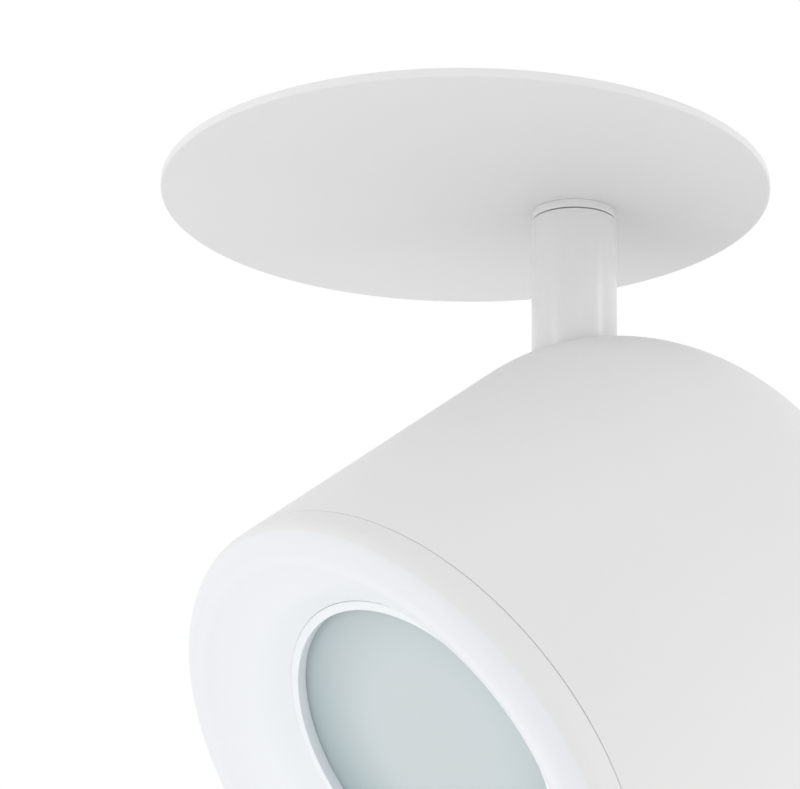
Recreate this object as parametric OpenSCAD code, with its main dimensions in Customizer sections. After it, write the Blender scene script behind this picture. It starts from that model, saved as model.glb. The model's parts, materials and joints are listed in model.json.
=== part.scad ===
// Adjustable spotlight on a round ceiling plate, with its plate set for a ceiling cut-out.
// Millimetres, +Z up. The origin is the centre of the plate's ceiling face.
// The drawn pose has the lamp head tilted up towards -Y by the value of tilt.

/* [Ceiling plate] */
// Diameter of the visible plate
plate_d = 136.8; // [130:0.2:150]
// Thickness of the plate
plate_t = 1.8; // [1.6:0.1:3]
// Rounding of the plate's lower edge
plate_edge = 0.4; // [0.2:0.1:0.8]
// Diameter of the collar that enters the ceiling cut-out
spigot_d = 98; // [97:0.5:100]
// Height of that collar above the ceiling face
spigot_h = 7; // [6:0.2:7.4]
// Wall of that collar
spigot_wall = 2; // [1.4:0.1:2.4]

/* [Recess can] */
// Diameter of the can above the plate
can_d = 81; // [80:0.2:81.6]
// Diameter of the can's flat top
can_top_d = 56; // [55:0.5:60]
// Height of the sloping shoulder between the can's wall and its flat top
can_shoulder = 5.8; // [4:0.1:6]
// Room for the leads between the swivel spindle's end and the can's top
can_room = 3.4; // [3.2:0.1:6]
// Sheet thickness of the can
can_wall = 1.2; // [0.8:0.1:1.6]
// Radial play between the can's flange and the plate's collar
flange_play = 0.3; // [0.1:0.05:0.6]
// Bore of the cable grommet
grommet_bore = 8; // [6:0.5:9]
// Distance of the grommet from the plate's centre
grommet_out = 19; // [18:0.2:19.4]
// Number of vent slots
vent_count = 5; // [3:1:5]

/* [Stem] */
// Diameter of the stem tube
stem_d = 19.2; // [18.6:0.1:19.6]
// Wall of the stem tube
stem_wall = 1.8; // [1.4:0.1:2.2]
// Distance of the stem from the plate's centre
stem_offset = 25.9; // [24:0.1:26]
// Turn of the plate so that the stem lies to the +X side of +Y
stem_bearing = 20.8; // [0:0.1:45]
// Distance of the tilt pivot below the plate
drop = 98.9; // [92:0.1:120]
// Height of the fixed collar under the plate
collar_h = 1.9; // [1.2:0.1:3]
// Open groove between the fixed collar and the turning stem
swivel_gap = 0.5; // [0.3:0.05:1]
// Diameter of the hollow swivel spindle
spindle_d = 13; // [12:0.1:13.2]
// Bore of the swivel spindle
spindle_bore = 8; // [7:0.1:8.6]

/* [Lamp head] */
// Diameter of the lamp head
head_d = 117.4; // [116:0.2:120]
// Wall of the head's shell
head_wall = 2.6; // [2.4:0.1:3]
// Distance from the pivot forward to the seam of the front ring
pivot_to_seam = 53.4; // [53:0.2:58]
// Distance from the pivot back to the rear end
pivot_to_rear = 65; // [62:0.2:68]
// Rounding of the rear end
rear_round = 44; // [38:0.5:46]
// Rest tilt of the head up from straight down
tilt = 53.4; // [0:0.1:55]
// Largest tilt of the head up from straight down, where the shell's slot ends
tilt_max = 55; // [55:1:85]
// Half width of the slot that the stem moves in
slot_half = 10.6; // [10.4:0.1:11]

/* [Front ring] */
// Distance from the seam to the front plane
ring_depth = 9.3; // [8.6:0.1:10]
// Rounding of the ring's front edge
nose_round = 5.6; // [4.6:0.1:6]
// Width of the shadow gap at the seam
seam_gap = 0.35; // [0.2:0.05:0.6]
// Angle at which the rounded edge passes over into the white funnel
funnel_turn = 28; // [10:1:32]
// Wall of the funnel
funnel_wall = 2.6; // [2:0.1:3]
// Outer diameter of the glass retaining lip
lip_d = 73.6; // [73:0.1:74]
// Wall of that lip
lip_wall = 2; // [1.6:0.1:2.8]
// Height of the lip above the bottom of the funnel
lip_rise = 0.3; // [0.2:0.1:1.4]
// How far the front glass reaches past the lip all round
glass_lap = 3.2; // [2.7:0.1:3.3]
// Thickness of the front glass
glass_t = 3; // [2:0.1:3.4]

/* [Tilt joint] */
// Diameter of the tilt pin
tilt_pin_d = 6; // [5:0.1:6.4]
// Thickness of the bracket's cheeks
cheek_t = 2.5; // [2:0.1:3]
// Running clearance of pins in their bores, on the radius
run_fit = 0.05; // [0.02:0.01:0.08]
// Close clearance of parts that don't turn, on the radius
close_fit = 0.03; // [0.02:0.01:0.05]

/* [Ceiling clips] */
// Length of a clip arm from its pin
clip_reach = 13.5; // [13:0.5:16]
// Width of a clip arm
clip_width = 11; // [10.6:0.2:11.4]
// Sheet thickness of the clip arm
clip_t = 1.2; // [0.8:0.1:1.4]
// Downward slope of the arm at rest
clip_slope = 12; // [8:0.5:14]
// Turn of the clips away from the line through the plate's centre and the stem
clip_bearing = 11; // [0:1:20]
// Diameter of the clip's pin
clip_pin_d = 2.5; // [2.2:0.1:2.6]
// Wire diameter of the clip spring
clip_wire = 0.9; // [0.7:0.05:0.95]
// Number of curls of the clip spring
clip_curls = 4; // [3:1:4]
// Distance between the curls
clip_pitch = 1.6; // [1.5:0.05:1.7]

/* [Heat sink] */
// Thickness of the heat sink's base
sink_base = 6; // [5:0.1:7]
// Thickness of a fin
fin_t = 1.8; // [1.4:0.1:2.2]
// Distance between fins
fin_pitch = 6; // [5:0.1:6.4]
// Number of fins on each side of the stem's slot
fin_count = 5; // [3:1:5]
// Half width of the channel between the two groups of fins
fin_clear = 21; // [20:0.5:22]

/* [Hidden] */
$fn = 72;

paint = [0.87, 0.87, 0.87];
funnel_white = [0.93, 0.94, 0.96];
glass_green = [0.80, 0.85, 0.84, 0.8];
zinc = [0.72, 0.73, 0.75];
spring_steel = [0.55, 0.56, 0.58];
alloy = [0.78, 0.79, 0.80];
black_rubber = [0.10, 0.10, 0.10];
nylon = [0.90, 0.89, 0.85];

plate_r = plate_d / 2;
spigot_r = spigot_d / 2;
spigot_in = spigot_r - spigot_wall;
can_r = can_d / 2;
can_top_r = can_top_d / 2;
flange_r = spigot_in - flange_play;
flange_screw_r = (can_r + flange_r) / 2;
m3_r = 1.4;
m3_head_r = 2.4;
m3_head_h = 1.4;
face_skin = 0.7;
screw_bite = plate_t - face_skin;
screw_play = 0.1;

stem_r = stem_d / 2;
tube_in = stem_r - stem_wall;
spindle_r = spindle_d / 2;
stem_x = stem_offset * sin(stem_bearing);
stem_y = stem_offset * cos(stem_bearing);
pivot_z = -plate_t - drop;
stem_top = -plate_t - collar_h - swivel_gap;
sleeve_wall = 0.8;
bush_wall = 1.25;
bush_r = spindle_r + run_fit + bush_wall;
sleeve_r = bush_r + close_fit + sleeve_wall;
sleeve_top = 3.4;
collar_nut_flat = 21;
collar_nut_h = 3;
bush_flange_r = 10.8;
bush_flange_t = 1;
washer_t = 0.8;
disc_spring_t = 0.6;
disc_spring_h = 1;
stop_t = 1.2;
lock_nut_flat = 19;
lock_nut_h = 4;
spindle_over = 1;
plug_len = 16;
stack_washer = sleeve_top + bush_flange_t;
stack_spring = stack_washer + washer_t;
stack_stop = stack_spring + disc_spring_h;
stack_nut = stack_stop + stop_t;
stack_end = stack_nut + lock_nut_h + spindle_over;
stop_pin_r = 0.9;
stop_pin_out = 12.2;
finger_out = 13.1;
lead_break = 0.3;
can_h = stack_end + can_room + can_wall;
shoulder_z = can_h - can_shoulder;
shoulder_run = (can_r - can_top_r) / can_shoulder;
finger_w = 3;

head_r = head_d / 2;
bore_r = head_r - head_wall;
seam_z = -pivot_to_seam;
front_z = seam_z - ring_depth;
slot_reach = pivot_to_rear + 2 * slot_half;
ledge_w = 6.6;
ledge_t = 3;
sink_top = -13;
sink_front = sink_top - sink_base;
screw_ring_r = bore_r - ledge_w / 2;

nose_r = head_r - nose_round;
nose_z = front_z + nose_round;
funnel_floor = seam_z + 3;
lip_r = lip_d / 2;
funnel_in = lip_r + 0.1;
turn_dir = [sin(funnel_turn), cos(funnel_turn)];
skin_dir = [sin(funnel_turn + 0.5), cos(funnel_turn + 0.5)];
turn_at = [nose_r, nose_z] - nose_round * turn_dir;
funnel_span = turn_at - [funnel_in, funnel_floor];
funnel_round = -funnel_span * funnel_span / (2 * funnel_span * turn_dir);
funnel_centre = turn_at + funnel_round * turn_dir;
lip_in = lip_r - lip_wall;
lip_front = funnel_floor - lip_rise;
glass_r = lip_r + glass_lap;
pocket_r = glass_r + 0.3;
tube_wall = 2.7;
lip_flange_z = funnel_floor + 0.8;
glass_z = lip_flange_z + 1.4;
gasket_z = glass_z + glass_t;
gasket_t = 1;
dish_z = gasket_z + gasket_t;
dish_flange_t = 1.2;
clamp_z = dish_z + dish_flange_t;
clamp_h = 4;
spigot_ring_len = 7;
spigot_ring_r = bore_r - 0.1;
spigot_ring_wall = 2.4;
seal_wire = 0.7;
seal_z = seam_z + 1.6;
lug_z = seam_z + 3.6;
lug_h = 2;
lug_out = 1.2;
lug_half = 6;
lug_play = 0.1;

pin_r = tilt_pin_d / 2;
knuckle_r = 9.3;
knuckle_neck = 12;
knuckle_plug = 14;
channel_y = 5.5;
channel_r = 2.2;
washer_gap = 0.05;
side_washer_t = 1.4;
cheek_in = stem_r + washer_gap + side_washer_t;
cheek_out = cheek_in + cheek_t;
cheek_r = 9;
base_t = 1.5;
base_half_y = 17;
bracket_screw_x = 10;
bracket_screw_y = 13.5;
pad_t = 0.4;
board_t = 1.6;
board_r = 20;
emitter_t = 1.4;
emitter_r = 8.5;
holder_t = 3.5;
holder_in = 10;
holder_r = 19.5;
board_z = sink_front - pad_t - board_t;
emitter_z = board_z - emitter_t;
holder_z = board_z - holder_t;
led_screw_out = 14.6;
led_screw_r = 1;
led_screw_seat = 1.6;
led_screw_bite = 2.7;
led_well_r = 2.4;
lead_r = 1;
lead_gap = 1.05;
dish_throat = 11.5;
dish_mouth = lip_in - 1.3;
dish_wall = 1.2;

clip_pin_r = clip_pin_d / 2;
clip_x = spigot_r - 5.5;
clip_z = spigot_h + 4;
ear_gap = 0.7;
ear_t = 1;
ear_y = clip_width / 2 + ear_gap;
ear_r = 2.8;
eye_r = clip_t * 2;
eye_w = 1.4;
bracket_x0 = can_r + 0.8;
bracket_x1 = sqrt(pow(flange_r - 0.2, 2) - pow(ear_y + ear_t, 2));
peg_r = 0.6;
peg_x = 3.8;
peg_l = 1.4;
curl_r = clip_pin_r + 0.25 + clip_wire / 2;
pad_wall = 0.8;
pad_len = 5;

// Carries plate-side parts, whose own +Y points from the plate's centre to the stem
module on_plate() {
    rotate([0, 0, -stem_bearing]) children();
}

// Carries parts on the stem's axis, with z = 0 at the ceiling face
module on_stem() {
    translate([stem_x, stem_y, 0]) children();
}

// Carries parts on the stem's axis, with z = 0 at the tilt pivot
module at_pivot() {
    translate([stem_x, stem_y, pivot_z]) children();
}

// Carries the head's parts: the pivot is the origin and the head looks along -Z
module in_head() {
    at_pivot() rotate([-tilt, 0, 0]) children();
}

// Carries a clip's parts, whose own +X points outwards: the right clip is next to the stem, and
// the left clip, where side is -1, is across the plate from it
module at_clip(side) {
    on_plate() rotate([0, 0, 90 - clip_bearing + (side > 0 ? 0 : 180)]) children();
}

// Turns a shape built along +Z about the clip's pin, where +X points outwards
module on_clip_pin(side) {
    at_clip(side) translate([clip_x, 0, clip_z]) rotate([0, clip_slope, 0]) children();
}

module ring(r_out, r_in, z0, z1) {
    translate([0, 0, z0]) difference() {
        cylinder(r = r_out, h = z1 - z0);
        translate([0, 0, -1]) cylinder(r = r_in, h = z1 - z0 + 2);
    }
}

// Cylinder along X, from x0 to x1
module rod_x(r, x0, x1) {
    translate([x0, 0, 0]) rotate([0, 90, 0]) cylinder(r = r, h = x1 - x0);
}

// Cylinder along Y, from y0 to y1
module rod_y(r, y0, y1) {
    translate([0, y0, 0]) rotate([-90, 0, 0]) cylinder(r = r, h = y1 - y0);
}

module hex(flats, h) {
    cylinder(r = flats / 2 / cos(30), h = h, $fn = 6);
}

// Pan-head screw at the origin, with its head's seat at z = 0 and its shank downwards
module screw(r, shank, head_r, head_h) {
    translate([0, 0, -shank]) cylinder(r = r, h = shank + 0.01);
    difference() {
        cylinder(r = head_r, h = head_h);
        for (turn = [0, 90])
            rotate([0, 0, turn])
                translate([-head_r * 0.55, -0.3, head_h * 0.45])
                    cube([head_r * 1.1, 0.6, head_h]);
    }
}

// Round wire through a list of points, with ball joints at its bends
module wire(points, r) {
    for (i = [0 : len(points) - 2]) {
        step = points[i + 1] - points[i];
        reach = norm(step);
        translate(points[i])
            rotate([0, acos(step[2] / reach), atan2(step[1], step[0])])
                cylinder(r = r, h = reach);
    }
    for (i = [1 : len(points) - 2])
        translate(points[i]) sphere(r = r + 0.04);
}

// Half outline of a can that is closed by a rounded end
module domed(r, z0, z1, e) {
    intersection() {
        union() {
            translate([0, z0]) square([r, z1 - e - z0]);
            translate([0, z0]) square([r - e, z1 - z0]);
            translate([r - e, z1 - e]) circle(r = e);
        }
        translate([0, z0]) square([r, z1 - z0]);
    }
}

module ceiling_plate() {
    color(paint) on_plate() difference() {
        rotate_extrude() {
            translate([0, -plate_t]) square([plate_r - plate_edge, plate_t]);
            translate([0, plate_edge - plate_t]) square([plate_r, plate_t - plate_edge]);
            intersection() {
                translate([plate_r - plate_edge, plate_edge - plate_t]) circle(r = plate_edge);
                translate([0, -plate_t]) square([plate_r, plate_t]);
            }
            translate([spigot_in, -0.1]) square([spigot_wall, spigot_h + 0.1]);
        }
        translate([0, stem_offset, -plate_t - 1]) cylinder(r = sleeve_r + close_fit, h = plate_t + 2);
        translate([0, stem_offset + stop_pin_out, -screw_bite]) cylinder(r = stop_pin_r + close_fit, h = 5);
        can_screw_places() translate([0, 0, -screw_bite]) cylinder(r = m3_r + close_fit, h = 5);
        clip_screw_places() translate([0, 0, -screw_bite]) cylinder(r = m3_r + close_fit, h = 5);
        clamp_screw_places() translate([0, 0, -screw_bite]) cylinder(r = m3_r + close_fit, h = 5);
    }
}

module can_screw_places() {
    for (i = [0 : 3])
        rotate([0, 0, 45 + 90 * i]) translate([flange_screw_r, 0, 0]) children();
}

module clip_screw_places() {
    for (side = [-1, 1])
        rotate([0, 0, 90 - clip_bearing]) translate([side * flange_screw_r, 0, 0]) children();
}

clamp_inset = 7.3;
clamp_y = clamp_inset + can_wall - can_r;
clamp_half_x = 11;
clamp_half_y = 3;
clamp_top = 8;
clamp_screw_x = 8;
cable_r = 3.6;

module clamp_screw_places() {
    for (side = [-1, 1])
        translate([side * clamp_screw_x, clamp_y, 0]) children();
}

module recess_can() {
    vent_l = 11;
    vent_w = 2.4;
    vent_step = 5;
    vent_x = can_top_r - vent_l / 2 - 4;
    skin = can_wall * sqrt(1 + 1 / pow(shoulder_run, 2));
    color(zinc) on_plate() difference() {
        rotate_extrude()
            polygon([[0, can_h], [can_top_r, can_h], [can_r, shoulder_z], [can_r, can_wall],
                [flange_r, can_wall], [flange_r, 0], [can_r - can_wall, 0],
                [can_r - can_wall, shoulder_z - skin + can_wall / shoulder_run],
                [can_top_r - (skin - can_wall) * shoulder_run, can_h - can_wall], [0, can_h - can_wall]]);
        translate([-grommet_out, 0, can_h - can_wall - 1]) cylinder(r = grommet_neck + close_fit, h = can_wall + 2);
        can_screw_places() translate([0, 0, -1]) cylinder(r = m3_r + screw_play, h = can_wall + 2);
        clip_screw_places() translate([0, 0, -1]) cylinder(r = m3_r + screw_play, h = can_wall + 2);
        for (i = [0 : vent_count - 1])
            translate([vent_x, (i - (vent_count - 1) / 2) * vent_step + 1, can_h - can_wall - 1])
                vent(vent_l, vent_w, can_wall + 2);
    }
}

module vent(l, w, h) {
    translate([-l / 2 + w / 2, -w / 2, 0]) cube([l - w, w, h]);
    for (side = [-1, 1])
        translate([side * (l - w) / 2, 0, 0]) cylinder(r = w / 2, h = h, $fn = 24);
}

module can_screws() {
    color(zinc) on_plate() can_screw_places()
        translate([0, 0, can_wall]) screw(m3_r, can_wall + screw_bite, m3_head_r, m3_head_h);
}

grommet_neck = grommet_bore / 2 + 2.2;
grommet_lip = 1.6;

module cable_grommet() {
    z0 = can_h - can_wall;
    color(black_rubber) on_plate() translate([-grommet_out, 0, 0]) difference() {
        union() {
            translate([0, 0, z0]) cylinder(r = grommet_neck, h = can_wall);
            translate([0, 0, z0 - grommet_lip]) cylinder(r = grommet_neck + 1.6, h = grommet_lip);
            translate([0, 0, can_h]) cylinder(r = grommet_neck + 1.6, h = grommet_lip * 1.5);
        }
        translate([0, 0, z0 - grommet_lip - 1]) cylinder(r = grommet_bore / 2, h = can_wall + grommet_lip * 3 + 2);
    }
}

block_y = -16;
block_x = 13;
block_half_y = 7;
block_h = 11.5;
pole_step = 8;
pole_z = 5;
pole_r = 1.6;
well_r = 2;
well_floor = pole_z + 3;

module terminal_block() {
    color(nylon) on_plate() translate([0, block_y, 0]) difference() {
        translate([-block_x, -block_half_y, 0]) cube([2 * block_x, 2 * block_half_y, block_h]);
        for (i = [-1 : 1]) {
            translate([i * pole_step, 0, pole_z]) rod_y(pole_r, -block_half_y - 1, block_half_y + 1);
            for (side = [-1, 1])
                translate([i * pole_step, side * block_half_y / 2, pole_z])
                    cylinder(r = well_r, h = block_h);
        }
    }
}

module terminal_screws() {
    color(zinc) on_plate() translate([0, block_y, 0])
        for (i = [-1 : 1])
            for (side = [-1, 1])
                translate([i * pole_step, side * block_half_y / 2, well_floor])
                    screw(well_r - 0.8, well_floor - pole_z - lead_r - 0.1, well_r - 0.1, pole_r + 0.4);
}

module cable_clamp() {
    color(nylon) on_plate() translate([0, clamp_y, 0]) difference() {
        translate([-clamp_half_x, -clamp_half_y, 0])
            cube([2 * clamp_half_x, 2 * clamp_half_y, clamp_top]);
        translate([0, 0, cable_r]) rod_y(cable_r, -clamp_half_y - 1, clamp_half_y + 1);
        translate([-cable_r, -clamp_half_y - 1, -1]) cube([2 * cable_r, 2 * clamp_half_y + 2, cable_r + 1]);
        for (side = [-1, 1])
            translate([side * clamp_screw_x, 0, -1]) cylinder(r = m3_r + screw_play, h = clamp_top + 2);
    }
}

module clamp_screws() {
    color(zinc) on_plate() clamp_screw_places()
        translate([0, 0, clamp_top]) screw(m3_r, clamp_top + screw_bite, m3_head_r, m3_head_h);
}

module supply_leads() {
    rise = stack_end + can_room / 2;
    for (side = [-1, 1])
        color(side < 0 ? "sienna" : "steelblue") on_plate()
            wire([[side * pole_step, block_y + block_half_y - 4, pole_z],
                [side * pole_step, block_y + block_half_y + 6, pole_z],
                [side * pole_step, block_y + block_half_y + 6, rise],
                [side * 1.3, stem_offset, rise],
                [side * 1.3, stem_offset, rise - 1]], lead_r);
}

module clip_bracket(side) {
    color(zinc) at_clip(side) difference() {
        union() {
            translate([bracket_x0, -ear_y - ear_t, can_wall])
                cube([bracket_x1 - bracket_x0, 2 * (ear_y + ear_t), ear_t]);
            for (end = [-1, 1])
                translate([0, end * (ear_y + ear_t / 2) - ear_t / 2, 0]) {
                    translate([bracket_x0, 0, can_wall])
                        cube([bracket_x1 - bracket_x0, ear_t, clip_z - can_wall]);
                    translate([clip_x, 0, clip_z]) rod_y(ear_r, 0, ear_t);
                    translate([clip_x, 0, clip_z]) rotate([0, clip_slope, 0])
                        translate([0, 0, -ear_r]) cube([peg_x + peg_r, ear_t, ear_r + eye_r - clip_t]);
                }
            for (end = [-1, 1])
                translate([clip_x, 0, clip_z]) rotate([0, clip_slope, 0])
                    translate([peg_x, end * (ear_y - peg_l / 2), eye_r - clip_t - peg_r - 0.05])
                        rod_y(peg_r, -peg_l / 2 - 0.2, peg_l / 2 + 0.2);
        }
        translate([clip_x, 0, clip_z]) rod_y(clip_pin_r + close_fit, -ear_y - 5, ear_y + 5);
        translate([flange_screw_r, 0, 0]) cylinder(r = m3_r + screw_play, h = 5);
    }
}

module clip_bracket_left() { clip_bracket(-1); }
module clip_bracket_right() { clip_bracket(1); }

module clip_screws() {
    color(zinc) on_plate() clip_screw_places()
        translate([0, 0, can_wall + ear_t])
            screw(m3_r, can_wall + ear_t + screw_bite, m3_head_r, m3_head_h);
}

module clip_pin(side) {
    color(zinc) at_clip(side) translate([clip_x, 0, clip_z]) {
        rod_y(clip_pin_r, -ear_y - ear_t - 0.6, ear_y + ear_t);
        rod_y(clip_pin_r + 0.7, ear_y + ear_t, ear_y + ear_t + 0.8);
    }
}

module clip_pin_left() { clip_pin(-1); }
module clip_pin_right() { clip_pin(1); }

module clip_arm(side) {
    half = clip_width / 2;
    window = curl_r + clip_wire / 2 + 2.2;
    color(spring_steel) on_clip_pin(side) difference() {
        union() {
            translate([0, -half, eye_r - clip_t]) cube([clip_reach, clip_width, clip_t]);
            for (end = [-1, 1])
                rod_y(eye_r, end > 0 ? half - eye_w : -half, end > 0 ? half : eye_w - half);
        }
        rod_y(clip_pin_r + run_fit, -half - 1, half + 1);
        translate([-eye_r - 1, eye_w - half, -eye_r - 1])
            cube([window + eye_r + 1, clip_width - 2 * eye_w, 2 * eye_r + 2]);
    }
}

module clip_arm_left() { clip_arm(-1); }
module clip_arm_right() { clip_arm(1); }

module clip_pad(side) {
    half = clip_width / 2;
    color(nylon) on_clip_pin(side) difference() {
        translate([clip_reach - pad_len, -half - pad_wall, eye_r - clip_t - pad_wall])
            cube([pad_len + pad_wall, clip_width + 2 * pad_wall, clip_t + 2 * pad_wall]);
        translate([clip_reach - pad_len - 1, -half, eye_r - clip_t])
            cube([pad_len + 1, clip_width, clip_t]);
    }
}

module clip_pad_left() { clip_pad(-1); }
module clip_pad_right() { clip_pad(1); }

// Centre line of a clip spring, seen along +Y: the fixed leg comes up from the bracket's base,
// the curls turn about the pin and the long leg lies on the arm
curl_steps = 8;
fixed_leg = clip_z - can_wall - ear_t - 0.05;
over_arm = eye_r + clip_wire / 2 + 0.1;
function on_arm(x, y) =
    [x * cos(clip_slope) + over_arm * sin(clip_slope), y, over_arm * cos(clip_slope) - x * sin(clip_slope)];
function curl_point(i) =
    let (angle = 180 - 360 * i / curl_steps, y = -clip_pitch * clip_curls / 2 + clip_pitch * i / curl_steps)
    [curl_r * cos(angle), y, curl_r * sin(angle)];
curl_count = round((clip_curls + 0.25) * curl_steps);
spring_curl = [for (i = [0 : curl_count]) curl_point(i)];
spring_end_y = spring_curl[curl_count][1];
spring_path = concat(
    [[-curl_r, -clip_pitch * clip_curls / 2 - 0.02, -fixed_leg],
        [-curl_r, -clip_pitch * clip_curls / 2 - 0.01, -fixed_leg / 2]],
    spring_curl,
    [on_arm(3.4, spring_end_y), on_arm(clip_reach - pad_len - 2, spring_end_y)]);
spring_gap = min([for (i = [0 : curl_count - curl_steps]) norm(spring_curl[i + curl_steps] - spring_curl[i])])
    - clip_wire;
echo(str("clip spring: least gap between curls ", spring_gap, " mm"));

// Tube of a few sides along a path that lies mostly square to the Y axis
module tube_along(path, r, sides) {
    last = len(path) - 1;
    rings = [for (i = [0 : last])
        let (ahead = path[min(i + 1, last)] - path[max(i - 1, 0)],
            t = ahead / norm(ahead),
            across = cross([0, 1, 0], t),
            u = across / norm(across),
            v = cross(t, u))
        for (k = [0 : sides - 1])
            path[i] + r * (cos(360 * k / sides) * u + sin(360 * k / sides) * v)];
    walls = [for (i = [0 : last - 1]) for (k = [0 : sides - 1])
        let (a = i * sides + k, b = i * sides + (k + 1) % sides)
        each [[a, a + sides, b], [b, a + sides, b + sides]]];
    caps = [for (k = [1 : sides - 2])
        each [[0, k, k + 1], [last * sides, last * sides + k + 1, last * sides + k]]];
    polyhedron(points = rings, faces = concat(walls, caps));
}

module clip_spring(side) {
    color(zinc) at_clip(side) translate([clip_x, 0, clip_z]) tube_along(spring_path, clip_wire / 2, 6);
}

module clip_spring_left() { clip_spring(-1); }
module clip_spring_right() { clip_spring(1); }

module stem_collar() {
    color(paint) on_stem() {
        ring(stem_r, bush_r + close_fit, -plate_t - collar_h, -plate_t);
        ring(sleeve_r, bush_r + close_fit, -plate_t - 0.01, sleeve_top);
    }
}

module collar_nut() {
    color(zinc) on_stem() rotate([0, 0, -stem_bearing]) difference() {
        hex(collar_nut_flat, collar_nut_h);
        translate([0, 0, -1]) cylinder(r = sleeve_r + close_fit, h = collar_nut_h + 2);
    }
}

module swivel_bush() {
    color(nylon) on_stem() {
        ring(bush_r, spindle_r + run_fit, -plate_t - collar_h, sleeve_top);
        ring(bush_flange_r, spindle_r + run_fit, sleeve_top, sleeve_top + bush_flange_t);
    }
}

module friction_washer() {
    color("dimgray") on_stem() ring(bush_flange_r, spindle_r + 0.2, stack_washer, stack_spring);
}

module disc_spring() {
    color(spring_steel) on_stem() rotate_extrude()
        polygon([[spindle_r + 0.2, stack_spring + disc_spring_h - disc_spring_t],
            [bush_flange_r, stack_spring],
            [bush_flange_r, stack_spring + disc_spring_t],
            [spindle_r + 0.2, stack_spring + disc_spring_h]]);
}

module stop_pin() {
    color(zinc) on_plate() translate([0, stem_offset + stop_pin_out, -screw_bite])
        cylinder(r = stop_pin_r, h = screw_bite + stack_nut + 1);
}

module stop_washer() {
    color(zinc) on_stem() rotate([0, 0, -stem_bearing]) translate([0, 0, stack_stop]) difference() {
        union() {
            cylinder(r = bush_flange_r, h = stop_t);
            translate([-finger_w / 2, -finger_out, 0]) cube([finger_w, finger_out, stop_t]);
        }
        translate([0, 0, -1]) cylinder(r = spindle_r + close_fit, h = stop_t + 2);
    }
}

module lock_nut() {
    color(zinc) on_stem() translate([0, 0, stack_nut]) difference() {
        hex(lock_nut_flat, lock_nut_h);
        translate([0, 0, -1]) cylinder(r = spindle_r + close_fit, h = lock_nut_h + 2);
    }
}

module swivel_spindle() {
    color(zinc) on_stem() difference() {
        union() {
            translate([0, 0, stem_top - plug_len]) cylinder(r = tube_in - close_fit, h = plug_len);
            translate([0, 0, stem_top - 1]) cylinder(r = spindle_r, h = stack_end - stem_top + 1);
        }
        translate([0, 0, stem_top - plug_len - 1])
            cylinder(r = spindle_bore / 2, h = stack_end - stem_top + plug_len + 2);
    }
}

module stem_tube() {
    color(paint) at_pivot() ring(stem_r, tube_in, knuckle_neck, stem_top - pivot_z);
}

module stem_knuckle() {
    color(paint) at_pivot() difference() {
        union() {
            rod_x(knuckle_r, -stem_r, stem_r);
            cylinder(r = stem_r, h = knuckle_neck);
            cylinder(r = tube_in - close_fit, h = knuckle_neck + knuckle_plug);
        }
        rod_x(pin_r + run_fit, -stem_r - 1, stem_r + 1);
        translate([0, channel_y, -knuckle_r - 1])
            cylinder(r = channel_r, h = knuckle_r + knuckle_neck + knuckle_plug + 2);
    }
}

module stem_leads() {
    for (side = [-1, 1])
        color(side < 0 ? "sienna" : "steelblue") at_pivot()
            wire([[side * lead_gap, channel_y, -4],
                [side * lead_gap, channel_y, knuckle_neck + knuckle_plug + 3],
                [side * 1.3, 1.5, knuckle_neck + knuckle_plug + 8],
                [side * 1.3, 1.5, stack_end + lead_break - pivot_z]], lead_r);
}

module tilt_bracket() {
    color(zinc) in_head() difference() {
        union() {
            translate([-cheek_out, -base_half_y, sink_top])
                cube([2 * cheek_out, 2 * base_half_y, base_t]);
            for (side = [-1, 1])
                translate([side * (cheek_in + cheek_t / 2) - cheek_t / 2, 0, 0]) {
                    translate([0, -cheek_r, sink_top]) cube([cheek_t, 2 * cheek_r, -sink_top]);
                    rod_x(cheek_r, 0, cheek_t);
                }
        }
        rod_x(pin_r + close_fit, -cheek_out - 1, cheek_out + 1);
        bracket_screw_places() translate([0, 0, sink_top - 1]) cylinder(r = m3_r + screw_play, h = base_t + 2);
    }
}

module bracket_screw_places() {
    for (x = [-bracket_screw_x, bracket_screw_x])
        for (y = [-bracket_screw_y, bracket_screw_y])
            translate([x, y, 0]) children();
}

module bracket_screws() {
    color(zinc) in_head() bracket_screw_places()
        translate([0, 0, sink_top + base_t]) screw(m3_r, base_t + 4, m3_head_r, m3_head_h);
}

tilt_spring_t = 0.8;
tilt_spring_h = 1.4;
pin_head_flat = 10;
pin_head_h = 3.6;
tilt_nut_h = 4.6;

module tilt_pin() {
    color(zinc) in_head() {
        rod_x(pin_r, -cheek_out, cheek_out + tilt_spring_h + tilt_nut_h + 1);
        translate([-cheek_out - pin_head_h, 0, 0]) rotate([0, 90, 0]) hex(pin_head_flat, pin_head_h + 0.01);
    }
}

module tilt_washers() {
    color("dimgray") in_head() for (side = [-1, 1])
        difference() {
            translate([side * (cheek_in - side_washer_t / 2), 0, 0])
                rod_x(knuckle_r - 0.8, -side_washer_t / 2, side_washer_t / 2);
            rod_x(pin_r + close_fit, -cheek_out, cheek_out);
        }
}

module tilt_spring_washer() {
    color(spring_steel) in_head() translate([cheek_out, 0, 0]) rotate([0, 90, 0]) rotate_extrude()
        polygon([[pin_r + 0.2, tilt_spring_h - tilt_spring_t], [pin_r + 4, 0],
            [pin_r + 4, tilt_spring_t], [pin_r + 0.2, tilt_spring_h]]);
}

module tilt_nut() {
    color(zinc) in_head() translate([cheek_out + tilt_spring_h, 0, 0]) rotate([0, 90, 0]) difference() {
        hex(pin_head_flat, tilt_nut_h);
        translate([0, 0, -1]) cylinder(r = pin_r + close_fit, h = tilt_nut_h + 2);
    }
}

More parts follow.
